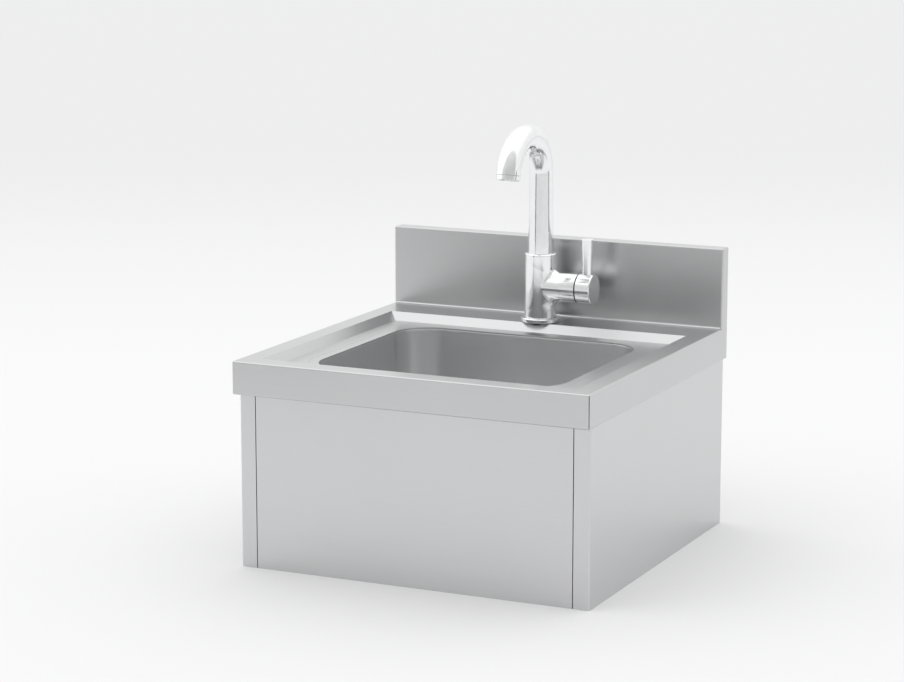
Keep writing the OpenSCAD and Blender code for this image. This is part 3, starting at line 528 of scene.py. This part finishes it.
def threaded(piece, centre, crest, root, low, high, pitch):
    """Turns an upright shank down to its root and winds a thread's ridge on it, in millimetres."""
    steps, flank, beyond, near = 36, 0.42, 0.1, 0.05
    depth = crest - root
    with editing(piece):
        pick(piece, "VERT", lambda point: low - beyond < point.co.z / MM < high + beyond and abs(
            (point.co - centre).to_2d().length / MM - crest) < near)
        bpy.ops.transform.resize(value=(root / crest, root / crest, 1.0), center_override=centre)
    start = Vector((centre.x, centre.y, (low + pitch) * MM))
    ridge = circle(4, depth * MM, start)
    with editing(ridge):
        bpy.ops.transform.rotate(value=pi / 2, orient_axis="X", center_override=start)
        bpy.ops.transform.resize(value=(1.0, 1.0, flank * pitch / depth), center_override=start)
        bpy.ops.transform.translate(value=(root * MM, 0.0, 0.0))
    apply(ridge, "SCREW", axis="Z", angle=2 * pi, screw_offset=pitch * MM, steps=steps,
          render_steps=steps, iterations=int((high - low) / pitch) - 1, use_smooth_shade=False)
    with editing(ridge):
        bpy.ops.mesh.remove_doubles(threshold=SAME_POINT / 2)
        pick(ridge, "EDGE", lambda edge: edge.is_boundary)
        bpy.ops.mesh.fill_holes(sides=0)
        close_skin()
    return merged([piece, settle(ridge)])


def loose_boxes(node):
    """The lowest and highest corner of each loose solid of a node."""
    copied(node)
    bpy.ops.mesh.separate(type="LOOSE")
    boxes = []
    for part in bpy.context.selected_objects:
        points = [point.co for point in part.data.vertices]
        boxes.append([Vector([pick_end(point[axis] for point in points) for axis in range(3)])
                      for pick_end in (min, max)])
    bpy.ops.object.delete()
    return sorted(boxes, key=lambda box: tuple(box[0]))


def repeated(piece, places):
    """Sets a copy of a piece, each with its own mesh, at every place and turn, and joins them."""
    copies = []
    for place, turn in places:
        copy = piece.copy()
        copy.data = piece.data.copy()
        bpy.context.scene.collection.objects.link(copy)
        copies.append(tipped(copy, place, turn))
    only(piece)
    bpy.ops.object.delete()
    return merged(copies)


class SINK_OT_finishes(bpy.types.Operator):
    """Makes the finishes and gives each carried-over node its own"""

    bl_idname = "sink.finishes"
    bl_label = "Finishes"

    def execute(self, context):
        steel = context.scene.sink_steel
        tap = context.scene.sink_tap
        grain = ground_grain()
        finishes = {
            slot: satin_steel(name, tone, roughness, steel.grain, grain)
            for slot, name, tone, roughness in (
                ("worktop_steel", "Worktop steel", steel.worktop_tone, steel.roughness),
                # Painted shade: a darker copy of the worktop steel for the front of the upstand.
                ("upstand_painted_shade_steel", "Upstand steel painted shade", steel.upstand_shade_tone, steel.roughness),
                # Painted light: a lighter copy of the sheet steel for the bowl's walls.
                ("bowl_steel", "Bowl steel painted light", steel.bowl_painted_light_tone, steel.bowl_roughness),
                ("body_steel", "Body steel", steel.body_tone, steel.body_roughness))}
        finishes.update({
            "fixing_steel": mottled("Zinc plate", (0.5, 0.5, 0.51), 0.35, 1.0),
            "waste_steel": mottled("Polished steel", (0.62, 0.62, 0.625), 0.18, 1.0),
            "tap_chrome": mottled("Chrome", tap.chrome_tone, tap.roughness, 1.0, depth=0.0),
            "brass": mottled("Turned brass", (0.72, 0.56, 0.3), 0.3, 1.0),
            "black_rubber": mottled("Black rubber", (0.018, 0.018, 0.019), 0.6),
            "grey_pad": mottled("Damping pad", (0.09, 0.09, 0.092), 0.85, size=300.0, depth=0.4),
            "black_plastic": mottled("Black plastic", (0.02, 0.02, 0.021), 0.45),
            "grey_plastic": mottled("Grey plastic", (0.2, 0.2, 0.205), 0.5),
            "white_plastic": mottled("White plastic", (0.78, 0.78, 0.76), 0.35),
        })
        for part in frame["record"]["subparts"]:
            materials = NODES[part["node"]].data.materials
            materials.clear()
            materials.append(finishes[part["material_slot"]])
        return {"FINISHED"}


class SINK_OT_sheets(bpy.types.Operator):
    """Finishes the folded and drawn sheets, the bowl's mouth and the apron's corner seams"""

    bl_idname = "sink.sheets"
    bl_label = "Sheet work"

    # The CAD bowl's mouth: its corners' radius, the bend above its wall, the flat part outside it.
    corner = 45.0 * MM
    lip = 5.0 * MM
    flange = 7.5 * MM

    def execute(self, context):
        steel = context.scene.sink_steel
        rounding = steel.edge_rounding
        worktop = round_edges(copied("worktop"), rounding)
        self.open_corners(worktop, steel.seam_width)
        stands_for(smooth(worktop), "Worktop_sheet", "worktop")
        # Painted shade: the front of the upstand gets the darker copy of the worktop steel.
        second_finish(worktop, "Upstand steel painted shade", self.on_upstand)

        bowl = copied("bowl")
        self.press_lip(bowl, steel.lip_radius)
        round_edges(bowl, rounding)
        cut_by(bowl, self.mouth_rim(steel), "UNION")
        stands_for(smooth(bowl), "Bowl_sheet", "bowl")
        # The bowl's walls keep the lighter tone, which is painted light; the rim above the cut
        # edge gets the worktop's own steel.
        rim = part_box("bowl")[1].z - steel.mouth_edge - 0.1 * MM
        second_finish(bowl, "Worktop steel", lambda face: face.center.z > rim)

        dressed("left_side_panel", "Left_panel_sheet", rounding)
        dressed("right_side_panel", "Right_panel_sheet", rounding)
        dressed("front_fascia", "Front_fascia_sheet", rounding)
        dressed("rear_panel", "Rear_panel_sheet", rounding)
        dressed("damping_pad", "Damping_pad_sheet", 0.8 * MM, 3)
        return {"FINISHED"}

    def press_lip(self, piece, radius):
        """Presses the bend between the drip area and the bowl to a smaller radius."""
        low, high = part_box("bowl")
        corner, lip, reach = self.corner, self.lip, 0.01 * MM
        drop = lip - radius
        inner = (high - low) / 2 - Vector((1.0, 1.0, 0.0)) * (self.flange + lip + corner)
        middle = (low + high) / 2
        for point in piece.data.vertices:
            flat = point.co - middle
            out = Vector((flat.x - max(-inner.x, min(inner.x, flat.x)),
                          flat.y - max(-inner.y, min(inner.y, flat.y)), 0.0))
            beyond = out.length - corner
            if point.co.z > high.z - lip - reach and beyond < lip + reach:
                across = Vector((beyond - lip, point.co.z - high.z + lip))
                point.co.z += drop - across.y / across.length * drop
                point.co += out.normalized() * (-drop - across.x / across.length * drop)

    def mouth_rim(self, steel):
        """The rim of sheet that carries the drip floor over the bowl's bend to its cut edge."""
        low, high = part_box("bowl")
        sunk, outer, over = 0.01 * MM, 4.0 * MM, 2.0 * MM
        middle = (low + high) / 2
        middle.z = high.z - sunk - steel.mouth_edge / 2
        rims = []
        for beyond, more in ((outer, 0.0), (steel.mouth_reach, over)):
            size = high - low + Vector((1.0, 1.0, 0.0)) * 2 * (beyond - self.flange - self.lip)
            size.z = steel.mouth_edge + 2 * more
            rim = block(middle, size)
            with editing(rim):
                pick(rim, "EDGE", lambda edge: abs(edge.verts[0].co.z - edge.verts[1].co.z) > MM)
                bpy.ops.mesh.bevel(offset=self.corner + beyond, segments=24, affect="EDGES")
            rims.append(rim)
        return round_edges(cut_by(*rims), steel.edge_rounding)

    def open_corners(self, piece, width):
        """Cuts the open seams between the front apron and the side aprons."""
        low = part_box("worktop")[0]
        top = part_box("tap_gasket")[0].z - 0.8 * MM
        depth, length, below = 0.9 * MM, 3.0 * MM, 1.0 * MM
        size = (length, width, top - low.z + below)
        for side in (-1.0, 1.0):
            place = (-side * (low.x + depth), low.y + depth, (low.z - below + top) / 2)
            cut_by(piece, block(place, size, -side * pi / 4))

    def on_upstand(self, face):
        """Tells whether a face is on the front of the upstand, which gets the painted shade."""
        return (face.normal.y < -0.7 and face.center.y > TAP.y
                and face.center.z > RING_LOW.z + 1.0 * MM)


class SINK_OT_tap_body(bpy.types.Operator):
    """Makes the cast column with its side housing and the rounded saddle between them"""

    bl_idname = "sink.tap_body"
    bl_label = "Tap body"

    def execute(self, context):
        tap = context.scene.sink_tap
        self.points, self.faces = [], []
        self.skin(tap.column_radius, tap.housing_radius, tap.saddle_radius)
        piece = skinned("Tap body", self.points, self.faces)
        with editing(piece):
            close_skin()
        round_edges(piece, 0.2 * MM, sharp=30.0)
        stands_for(smooth(piece, 30.0, even=False), "Tap_body_casting", "tap_body")
        return {"FINISHED"}

    def loft(self, loops, first_cap=False, last_cap=False):
        """Joins loops of as many points each into a skin."""
        start = len(self.points)
        count = len(loops[0])
        for loop in loops:
            self.points.extend(loop)
        for row in range(len(loops) - 1):
            low = start + row * count
            self.faces.extend(
                (low + k, low + (k + 1) % count, low + count + (k + 1) % count, low + count + k)
                for k in range(count))
        if first_cap:
            self.faces.append(tuple(range(start, start + count)))
        if last_cap:
            end = len(self.points)
            self.faces.append(tuple(range(end - count, end)))

    def skin(self, column, housing, ball):
        """The saddle is the path of a ball that rolls round both the column and the housing."""
        low, high = RING_HIGH.z - AXIS_Z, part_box("tap_body")[1].z - AXIS_Z
        chamfer, socket, bore, chamber = 1.0 * MM, 16.05 * MM, 16.0 * MM, 17.6 * MM
        collar_x, mouth_x, end_x, back_x = 46.0 * MM, 50.6 * MM, 51.6 * MM, 14.0 * MM
        straight, socket_depth, foot_share = 1.5 * MM, 21.0 * MM, 0.9
        side, steps, rows = 48, 10, 8
        count = 8 * side
        reach, hold = column + ball, housing + ball

        turns = [2 * pi * k / count for k in range(count)]
        wall = [[self.place(x, radius * cos(turn), radius * sin(turn)) for turn in turns]
                for radius, x in ((bore, back_x), (bore, collar_x), (chamber, collar_x),
                                  (chamber, mouth_x), (housing, end_x),
                                  (housing, reach + straight))]
        saddle = [[] for _ in range(steps + 1)]
        rim = []
        for turn in turns:
            y, z = hold * cos(turn), hold * sin(turn)
            middle = Vector(((reach ** 2 - y ** 2) ** 0.5, y, z))
            first = Vector((middle.x, housing * cos(turn), housing * sin(turn))) - middle
            last = Vector((middle.x * column / reach, y * column / reach, z)) - middle
            for step in range(steps + 1):
                way = first.normalized().slerp(last.normalized(), step / steps)
                saddle[step].append(self.place(*(middle + ball * way)))
            rim.append((atan2(y, middle.x) * column, z))
        edge = self.outline(side, pi * column, low, high - chamfer)
        column_wall = [[self.on_column(column, rim[k], edge[k], row / rows) for k in range(count)]
                       for row in range(1, rows + 1)]
        self.loft(wall + saddle + column_wall, first_cap=True)
        top = column_wall[-1][side:3 * side]
        bottom = column_wall[-1][5 * side:7 * side]
        shrink = (column - chamfer) / column
        self.loft([top, self.ring(top, shrink, high), self.ring(top, socket / column, high),
                   self.ring(top, socket / column, high - socket_depth)], last_cap=True)
        self.loft([bottom, self.ring(bottom, foot_share, low)], last_cap=True)

    def place(self, x, y, z):
        """A point measured from the crossing of the tap's two axes."""
        return (TAP.x + x, TAP.y + y, AXIS_Z + z)

    def ring(self, loop, scale, height):
        """A loop drawn towards the tap's upright axis and set at a height."""
        return [(TAP.x + (x - TAP.x) * scale, TAP.y + (y - TAP.y) * scale, AXIS_Z + height)
                for x, y, z in loop]

    def outline(self, side, width, low, high):
        """The column's edges, unrolled, as a loop that starts in the middle of one side."""
        right = [(width, high * k / side) for k in range(side)]
        top = [(width * (1 - k / side), high) for k in range(2 * side)]
        left = [(-width, high * (1 - k / side)) for k in range(side)]
        left += [(-width, low * k / side) for k in range(side)]
        bottom = [(width * (k / side - 1), low) for k in range(2 * side)]
        right_low = [(width, low * (1 - k / side)) for k in range(side)]
        return right + top + left + bottom + right_low

    def on_column(self, column, inner, outer, share):
        """A point of the column's wall between the saddle and the column's edge."""
        around = (inner[0] + (outer[0] - inner[0]) * share) / column
        height = inner[1] + (outer[1] - inner[1]) * share
        return self.place(column * cos(around), column * sin(around), height)


class SINK_OT_tap_base(bpy.types.Operator):
    """Makes the ring and the gasket under the tap, and the threaded shank, clamp and nut below"""

    bl_idname = "sink.tap_base"
    bl_label = "Tap base"

    def execute(self, context):
        top = Vector((TAP.x, TAP.y, 0.0))
        low, high = RING_LOW.z / MM, RING_HIGH.z / MM
        wide = (RING_HIGH.x - RING_LOW.x) / 2 / MM
        bore, foot, sunk = 13.8, 18.9, 20.0
        ring = turned([(bore, low), (foot, low), (foot + 0.3, low - 1.4), (wide, low - 0.7),
                       (wide, high - 1.0), (wide - 1.0, high),
                       (sunk + 0.4, high), (sunk, high - 0.3), (bore, high - 0.3)], top)
        round_edges(ring, 0.25 * MM)
        stands_for(smooth(ring), "Tap_base_ring_turned", "tap_base_ring")

        low, high = (corner.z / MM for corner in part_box("tap_gasket"))
        bore, wide = 14.4, 18.8
        gasket = turned([(bore, low), (wide - 0.2, low), (wide, (low + high) / 2),
                         (wide - 0.2, high), (bore, high)], top)
        stands_for(smooth(gasket), "Tap_gasket_moulded", "tap_gasket")
        self.shank(top)
        dressed("tap_clamp_plate", "Tap_clamp_plate_pressed", 0.3 * MM)
        dressed("tap_clamp_seal", "Tap_clamp_seal_moulded", 0.3 * MM)
        return {"FINISHED"}

    def shank(self, top):
        """The shank has a turned thread, and its nut's corners are chamfered."""
        low, high = (corner.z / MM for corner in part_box("tap_shank"))
        crest, root, pitch = 13.2, 12.4, 1.5
        piece = threaded(copied("tap_shank"), top, crest, root, low, high, pitch)
        stands_for(smooth(piece), "Tap_shank_turned", "tap_shank")
        low, high = (corner.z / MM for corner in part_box("tap_nut"))
        nut = copied("tap_nut")
        cone = turned([(15.2, low), (16.3, low + 0.9), (18.6, low + 2.0), (18.6, high - 2.0),
                       (16.3, high - 0.9), (15.2, high)], top, solid=True)
        cut_by(nut, cone, "INTERSECT")
        stands_for(smooth(nut, 25.0), "Tap_nut_milled", "tap_nut")


class SINK_OT_handle(bpy.types.Operator):
    """Makes the round cap, the black collar behind it and the conical lever"""

    bl_idname = "sink.handle"
    bl_label = "Handle"

    def execute(self, context):
        tap = context.scene.sink_tap
        turn = (0.0, pi / 2, 0.0)
        place = Vector((TAP.x, TAP.y, AXIS_Z))
        pivot = PIVOT_X / MM
        end = CAP_HIGH.x / MM
        wide = (CAP_HIGH.y - CAP_LOW.y) / 2 / MM
        edge, wall, stem, deep, hub, seat = 53.5, 1.5, 3.1, 67.0, 5.5, 58.0
        ball = (wide ** 2 + (pivot - edge) ** 2) ** 0.5
        cap = turned([(stem, deep), (stem, edge), (hub, edge), (hub, seat), (wide - wall, seat),
                      *ball_rings(wide - wall, wide, 5, ball, pivot),
                      (wide, end - 1.0), (wide - 1.0, end)], Vector(), segments=128, solid=True)
        round_edges(tipped(cap, place, turn), 0.18 * MM)
        stands_for(smooth(cap), "Handle_cap_turned", "handle_cap")
        hidden = (edge - 0.02) * MM
        second_finish(cap, "Black rubber",
                      lambda face: face.center.x < hidden and face.normal.x < -0.2)

        bore, neck, wide, back, step, gap = 12.8, 15.95, 17.6, 44.6, 46.05, 0.25
        face = ball_rings(bore, wide, 6, ball + gap, pivot)
        collar = turned([(bore, back), (neck, back), (neck, step), (wide - 0.05, step),
                         *reversed(face)], Vector(), segments=128)
        stands_for(smooth(tipped(collar, place, turn)), "Seam_collar_moulded", "seam_collar")

        foot, head = tap.lever_foot_radius / MM, tap.lever_head_radius / MM
        low, high, bend = AXIS_Z / MM + 17.7, LEVER_HIGH.z / MM, 0.6
        rim = [(head + bend * (cos(radians(15 * k)) - 1), high + bend * (sin(radians(15 * k)) - 1))
               for k in range(7)]
        lever = turned([(foot, low), ((foot + head) / 2, (low + high) / 2), *rim],
                       Vector((PIVOT_X, TAP.y, 0.0)), segments=64, solid=True)
        stands_for(smooth(lever), "Lever_turned", "lever")
        return {"FINISHED"}


class SINK_OT_spout(bpy.types.Operator):
    """Bends the spout's tube and makes the outlet collar at its end"""

    bl_idname = "sink.spout"
    bl_label = "Spout"

    def execute(self, context):
        tap = context.scene.sink_tap
        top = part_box("tap_body")[1].z
        sweep, bend = tap.spout_sweep, tap.bend_radius
        wide, thin = tap.spout_radius, tap.spout_radius - 1.0 * MM
        bend_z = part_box("spout")[1].z - bend - thin
        sunk, straight, wall, steps = 15 * MM, 6 * MM, 2.4 * MM, 4
        tube = circle(96, wide, (TAP.x, TAP.y, top - sunk))
        with editing(tube):
            for rise, scale in ((sunk + straight, 1.0), (bend_z - top - straight, thin / wide)):
                for step in range(steps):
                    bpy.ops.mesh.extrude_edges_move(
                        TRANSFORM_OT_translate={"value": (0.0, 0.0, rise / steps)})
                    share = (steps + (scale - 1) * (step + 1)) / (steps + (scale - 1) * step)
                    bpy.ops.transform.resize(value=(share, share, 1.0),
                                             center_override=(TAP.x, TAP.y, 0.0))
            bpy.ops.mesh.spin(steps=72, angle=-sweep, center=(TAP.x, TAP.y - bend, bend_z),
                              axis=(1.0, 0.0, 0.0))
            close_skin()
        apply(settle(tube), "SOLIDIFY", thickness=wall, offset=-1.0, use_even_offset=True)
        stands_for(smooth(tube, 40.0, even=False), "Spout_tube_bent", "spout")

        place = Vector((TAP.x, TAP.y - bend + bend * cos(sweep), bend_z + bend * sin(sweep)))
        bore, neck, wide, seam = 10.6, 12.2, 14.7, 0.12
        shell = turned([(bore, -3.9), (neck, -3.9), (neck, seam), (wide - 0.4, seam), (wide, 0.5),
                        (wide, 5.9), (wide - 0.6, 6.5), (bore + 1.0, 6.5), (bore, 5.6)], Vector())
        round_edges(tipped(shell, place, (sweep, 0.0, 0.0)), 0.15 * MM)
        stands_for(smooth(shell), "Aerator_shell_turned", "aerator_shell")
        return {"FINISHED"}


class SINK_OT_waste(bpy.types.Operator):
    """Makes the waste with its flanged cup, moulded body, seals and screw"""

    bl_idname = "sink.waste"
    bl_label = "Waste"

    def execute(self, context):
        for node, name, rounding in (
                ("waste_cup", "Waste_cup_pressed", 0.3),
                ("waste_top_seal", "Waste_top_seal_moulded", 0.25),
                ("waste_lower_seal", "Waste_lower_seal_moulded", 0.5),
                ("waste_insert", "Waste_insert_turned", 0.2),
                ("waste_screw", "Waste_screw_turned", 0.25)):
            dressed(node, name, rounding * MM)
        body = round_edges(copied("waste_body"), 0.45 * MM)
        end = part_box("waste_body")[0].z / MM
        crest, root, length, pitch = 23.9, 22.9, 22.0, 2.3
        threaded(body, DRAIN, crest, root, end, end + length, pitch)
        stands_for(smooth(body), "Waste_body_moulded", "waste_body")
        return {"FINISHED"}


class SINK_OT_strainer(bpy.types.Operator):
    """Makes the perforated basket with its rounded knob and its stopper ring"""

    bl_idname = "sink.strainer"
    bl_label = "Strainer"

    def execute(self, context):
        dressed("strainer_basket", "Strainer_basket_pressed", 0.2 * MM)
        dressed("strainer_seal", "Strainer_seal_moulded", 0.8 * MM, 3)
        foot, top = (corner.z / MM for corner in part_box("strainer_knob"))
        edge = top - 3.0
        under = edge - 2.0
        knob = turned([(3.5, foot + 8.0), (3.5, foot), (5.5, foot), (5.5, under - 0.8),
                       (5.8, under - 0.2), (6.4, under), (8.6, under), (9.5, under + 0.5),
                       (9.9, under + 1.3), (10.0, edge), (9.8, edge + 0.9), (9.2, edge + 1.8),
                       (8.1, edge + 2.5), (6.6, edge + 2.9), (4.6, top), (2.0, top - 0.2)],
                      Vector((DRAIN.x, DRAIN.y, 0.0)), segments=64, solid=True)
        stands_for(smooth(knob, 45.0), "Strainer_knob_moulded", "strainer_knob")
        return {"FINISHED"}


class SINK_OT_fixings(bpy.types.Operator):
    """Makes the pan-head screws, the nuts, the spacers and the studs"""

    bl_idname = "sink.fixings"
    bl_label = "Fixings"

    head = 2.1 * MM

    def execute(self, context):
        self.screws("fascia_screws", "Fascia_screws_headed", 0, inward=True)
        self.screws("rear_screws", "Rear_screws_headed", 1, inward=False)
        for node, name, turn in (("fascia_nuts", "Fascia_nuts_chamfered", (0.0, pi / 2, 0.0)),
                                 ("rear_nuts", "Rear_nuts_chamfered", (pi / 2, 0.0, 0.0))):
            places = [((low + high) / 2, turn) for low, high in loose_boxes(node)]
            stands_for(smooth(repeated(self.nut(), places)), name, node)
        for node, name, rounding in (
                ("fascia_spacers", "Fascia_spacers_moulded", 0.2),
                ("worktop_nuts", "Worktop_nuts_flanged", 0.25),
                ("worktop_studs", "Worktop_studs_welded", 0.4)):
            dressed(node, name, rounding * MM)
        return {"FINISHED"}

    def screws(self, node, name, axis, inward):
        """Sets screws along X or Y, with their heads towards the unit's middle or away from it."""
        places = []
        for low, high in loose_boxes(node):
            middle = (low + high) / 2
            way = -1.0 if (middle[axis] > 0.0) == inward else 1.0
            middle[axis] = (low if way < 0.0 else high)[axis] - way * self.head
            turn = (0.0, way * pi / 2, 0.0) if axis == 0 else (-way * pi / 2, 0.0, 0.0)
            places.append((middle, turn))
        screw = self.pan_screw((high[axis] - low[axis] - self.head) / MM)
        stands_for(smooth(repeated(screw, places)), name, node)

    def pan_screw(self, reach):
        """A screw whose head sits on the origin, with a cross recess and a chamfered tip."""
        shank, wide, top = 2.0, 3.8, self.head / MM
        slot = Vector((4.2, 0.8, 1.6)) * MM
        screw = turned([(shank - 0.7, -reach), (shank, 0.7 - reach), (shank, 0.0), (wide, 0.0),
                        (wide, 0.8), (wide - 0.2, 1.35), (wide - 0.9, 1.8), (1.5, top)],
                       Vector(), segments=32, solid=True)
        for turn in (0.0, pi / 2):
            cut_by(screw, block((0.0, 0.0, 1.7 * MM), slot, turn))
        return screw

    def nut(self):
        """A hexagon nut round the origin with chamfered corners."""
        corner, flat, bore, half = 4.04, 3.4, 2.05, 1.6
        bpy.ops.object.select_all(action="DESELECT")
        bpy.ops.mesh.primitive_cylinder_add(vertices=6, radius=corner * MM, depth=2 * half * MM)
        nut = settle(bpy.context.object)
        cone = turned([(flat, -half), (4.1, -1.2), (4.1, 1.2), (flat, half)], Vector(),
                      segments=48, solid=True)
        cut_by(nut, cone, "INTERSECT")
        hole = turned([(2.3, -1.8), (bore, -1.3), (bore, 1.3), (2.3, 1.8)], Vector(), segments=32,
                      solid=True)
        return cut_by(nut, hole)


class SINK_OT_camera(bpy.types.Operator):
    """Sets the camera at the photograph's place"""

    bl_idname = "sink.camera"
    bl_label = "Camera"

    def execute(self, context):
        studio = context.scene.sink_studio
        level = cos(studio.elevation)
        back = Vector((sin(studio.azimuth) * level, -cos(studio.azimuth) * level,
                       sin(studio.elevation)))
        camera = bpy.data.objects.new("Camera", bpy.data.cameras.new("Camera"))
        context.scene.collection.objects.link(camera)
        camera.location = Vector(studio.target) + back * studio.distance
        camera.rotation_mode = "QUATERNION"
        camera.rotation_quaternion = (-back).to_track_quat("-Z", "Y")
        camera.data.sensor_width = 36.0
        camera.data.lens = studio.lens
        camera.data.clip_start = 0.05
        camera.data.clip_end = 200.0
        context.scene.camera = camera
        return {"FINISHED"}


class SINK_OT_studio(bpy.types.Operator):
    """Lays the pale floor and lights the room softly from all round"""

    bl_idname = "sink.studio"
    bl_label = "Studio"

    def execute(self, context):
        studio = context.scene.sink_studio
        bpy.ops.object.select_all(action="DESELECT")
        bpy.ops.mesh.primitive_plane_add(size=120.0, location=(0.0, 0.0, 0.0))
        floor = context.object
        floor.name = "Studio_floor"
        floor.data.materials.append(self.floor_material(studio))
        self.light_room(context.scene, studio)
        context.scene.view_settings.view_transform = "Standard"
        return {"FINISHED"}

    def floor_material(self, studio):
        """Pale floor that grows a little darker behind the object."""
        near, far = 0.6, 4.0
        material, tree, shader = new_material("Studio floor")
        fill(shader, Roughness=1.0, Specular_IOR_Level=0.0)
        place = add_node(tree, "ShaderNodeTexCoord")
        depth = add_node(tree, "ShaderNodeVectorMath", operation="DOT_PRODUCT")
        depth.inputs[1].default_value = (-sin(studio.azimuth), cos(studio.azimuth), 0.0)
        share = add_node(tree, "ShaderNodeMapRange", interpolation_type="SMOOTHSTEP")
        fill(share, From_Min=near, From_Max=far, To_Min=1.0, To_Max=1.0 - studio.far_dim)
        tint = add_node(tree, "ShaderNodeVectorMath", operation="SCALE")
        tint.inputs[0].default_value = studio.floor_tone
        link(tree,
             (place, "Object", depth, 0),
             (depth, "Value", share, "Value"),
             (share, "Result", tint, "Scale"),
             (tint, "Vector", shader, "Base Color"))
        return material

    def light_room(self, scene, studio):
        """Soft light that grows from the horizon to the top of the room, a little lower on the
        camera's side and higher on the left."""
        horizon, overhead = 0.25, 0.95
        azimuth = studio.azimuth
        front = (sin(azimuth), -cos(azimuth), 0.0)
        left = (-cos(azimuth), -sin(azimuth), 0.0)
        scene.world = world = bpy.data.worlds.new("Studio")
        world.use_nodes = True
        tree = world.node_tree
        back = fill(tree.nodes["Background"], Color=(1.0, 1.0, 1.0, 1.0))
        place = add_node(tree, "ShaderNodeTexCoord")
        split = add_node(tree, "ShaderNodeSeparateXYZ")
        rise = add_node(tree, "ShaderNodeMapRange", interpolation_type="SMOOTHSTEP")
        fill(rise, From_Min=horizon, From_Max=overhead, To_Min=studio.horizon_light,
             To_Max=studio.overhead_light)
        link(tree,
             (place, "Generated", split, "Vector"),
             (split, "Z", rise, "Value"))
        light = (rise, "Result")
        for way, first, last, gain in ((front, 0.35, 0.55, -studio.front_dim),
                                       (left, 0.3, 0.75, studio.left_gain)):
            side = add_node(tree, "ShaderNodeVectorMath", operation="DOT_PRODUCT")
            side.inputs[1].default_value = way
            share = add_node(tree, "ShaderNodeMapRange", interpolation_type="SMOOTHSTEP")
            fill(share, From_Min=first, From_Max=last, To_Min=1.0, To_Max=1.0 + gain)
            both = add_node(tree, "ShaderNodeMath", operation="MULTIPLY")
            link(tree,
                 (place, "Generated", side, 0),
                 (side, "Value", share, "Value"),
                 (*light, both, 0),
                 (share, "Result", both, 1))
            light = (both, "Value")
        link(tree, (*light, back, "Strength"))


class SINK_OT_screen(bpy.types.Operator):
    """Stands a grey screen with dark ends in front, which only the mirroring metal shows"""

    bl_idname = "sink.screen"
    bl_label = "Screen"

    def execute(self, context):
        studio = context.scene.sink_studio
        left, right, end, end_tone = -49.0, 70.0, 8.0, 0.15
        for name, tone, first, last in (
                ("Grey_screen", studio.screen_tone, left, right),
                ("Dark_end_left", end_tone, left - end, left),
                ("Dark_end_right", end_tone, right, right + end)):
            self.bend(name, tone, studio.azimuth, first, last)
        return {"FINISHED"}

    def bend(self, name, tone, azimuth, first, last):
        """Bends one upright sheet round the tap between two directions from the camera's."""
        steps, distance, low, high = 24, 1.5, 0.12, 0.55
        foot = []
        for k in range(steps + 1):
            turn = azimuth + radians(first + (last - first) * k / steps)
            foot.append((TAP.x + distance * sin(turn), TAP.y - distance * cos(turn)))
        points = [(*point, height) for height in (low, high) for point in foot]
        sheet = skinned(name, points,
                        [(k, k + 1, k + steps + 2, k + steps + 1) for k in range(steps)])
        material, tree, shader = new_material(name)
        fill(shader, Roughness=1.0, Base_Color=(tone, tone, tone, 1.0))
        sheet.data.materials.append(material)
        sheet.visible_camera = False
        sheet.visible_diffuse = False
        sheet.visible_shadow = False


class SINK_PT_panel(bpy.types.Panel):
    """Lists the steps that dress the sink unit"""

    bl_idname = "SINK_PT_panel"
    bl_label = "Sink unit"
    bl_space_type = "VIEW_3D"
    bl_region_type = "UI"
    bl_category = "Sink unit"

    def draw(self, context):
        for name in SETTINGS:
            settings = getattr(context.scene, name)
            box = self.layout.box()
            for key in settings.__annotations__:
                box.prop(settings, key)
        for step in STEPS:
            self.layout.operator(step.bl_idname)


SETTINGS = {
    "sink_steel": SteelSettings,
    "sink_tap": TapSettings,
    "sink_studio": StudioSettings,
}
STEPS = (
    SINK_OT_camera,
    SINK_OT_studio,
    SINK_OT_screen,
    SINK_OT_finishes,
    SINK_OT_sheets,
    SINK_OT_tap_body,
    SINK_OT_tap_base,
    SINK_OT_handle,
    SINK_OT_spout,
    SINK_OT_waste,
    SINK_OT_strainer,
    SINK_OT_fixings,
)


def register():
    """Registers the settings, the steps and the panel."""
    for name, group in SETTINGS.items():
        bpy.utils.register_class(group)
        setattr(bpy.types.Scene, name, bpy.props.PointerProperty(type=group))
    for step in STEPS:
        bpy.utils.register_class(step)
    bpy.utils.register_class(SINK_PT_panel)


def unregister():
    """Takes out what register put in."""
    bpy.utils.unregister_class(SINK_PT_panel)
    for step in reversed(STEPS):
        bpy.utils.unregister_class(step)
    for name, group in SETTINGS.items():
        delattr(bpy.types.Scene, name)
        bpy.utils.unregister_class(group)


def main():
    """Runs every step."""
    register()
    bpy.ops.sink.camera()
    bpy.ops.sink.studio()
    bpy.ops.sink.screen()
    bpy.ops.sink.finishes()
    bpy.ops.sink.sheets()
    bpy.ops.sink.tap_body()
    bpy.ops.sink.tap_base()
    bpy.ops.sink.handle()
    bpy.ops.sink.spout()
    bpy.ops.sink.waste()
    bpy.ops.sink.strainer()
    bpy.ops.sink.fixings()


if __name__ == "__main__":
    main()
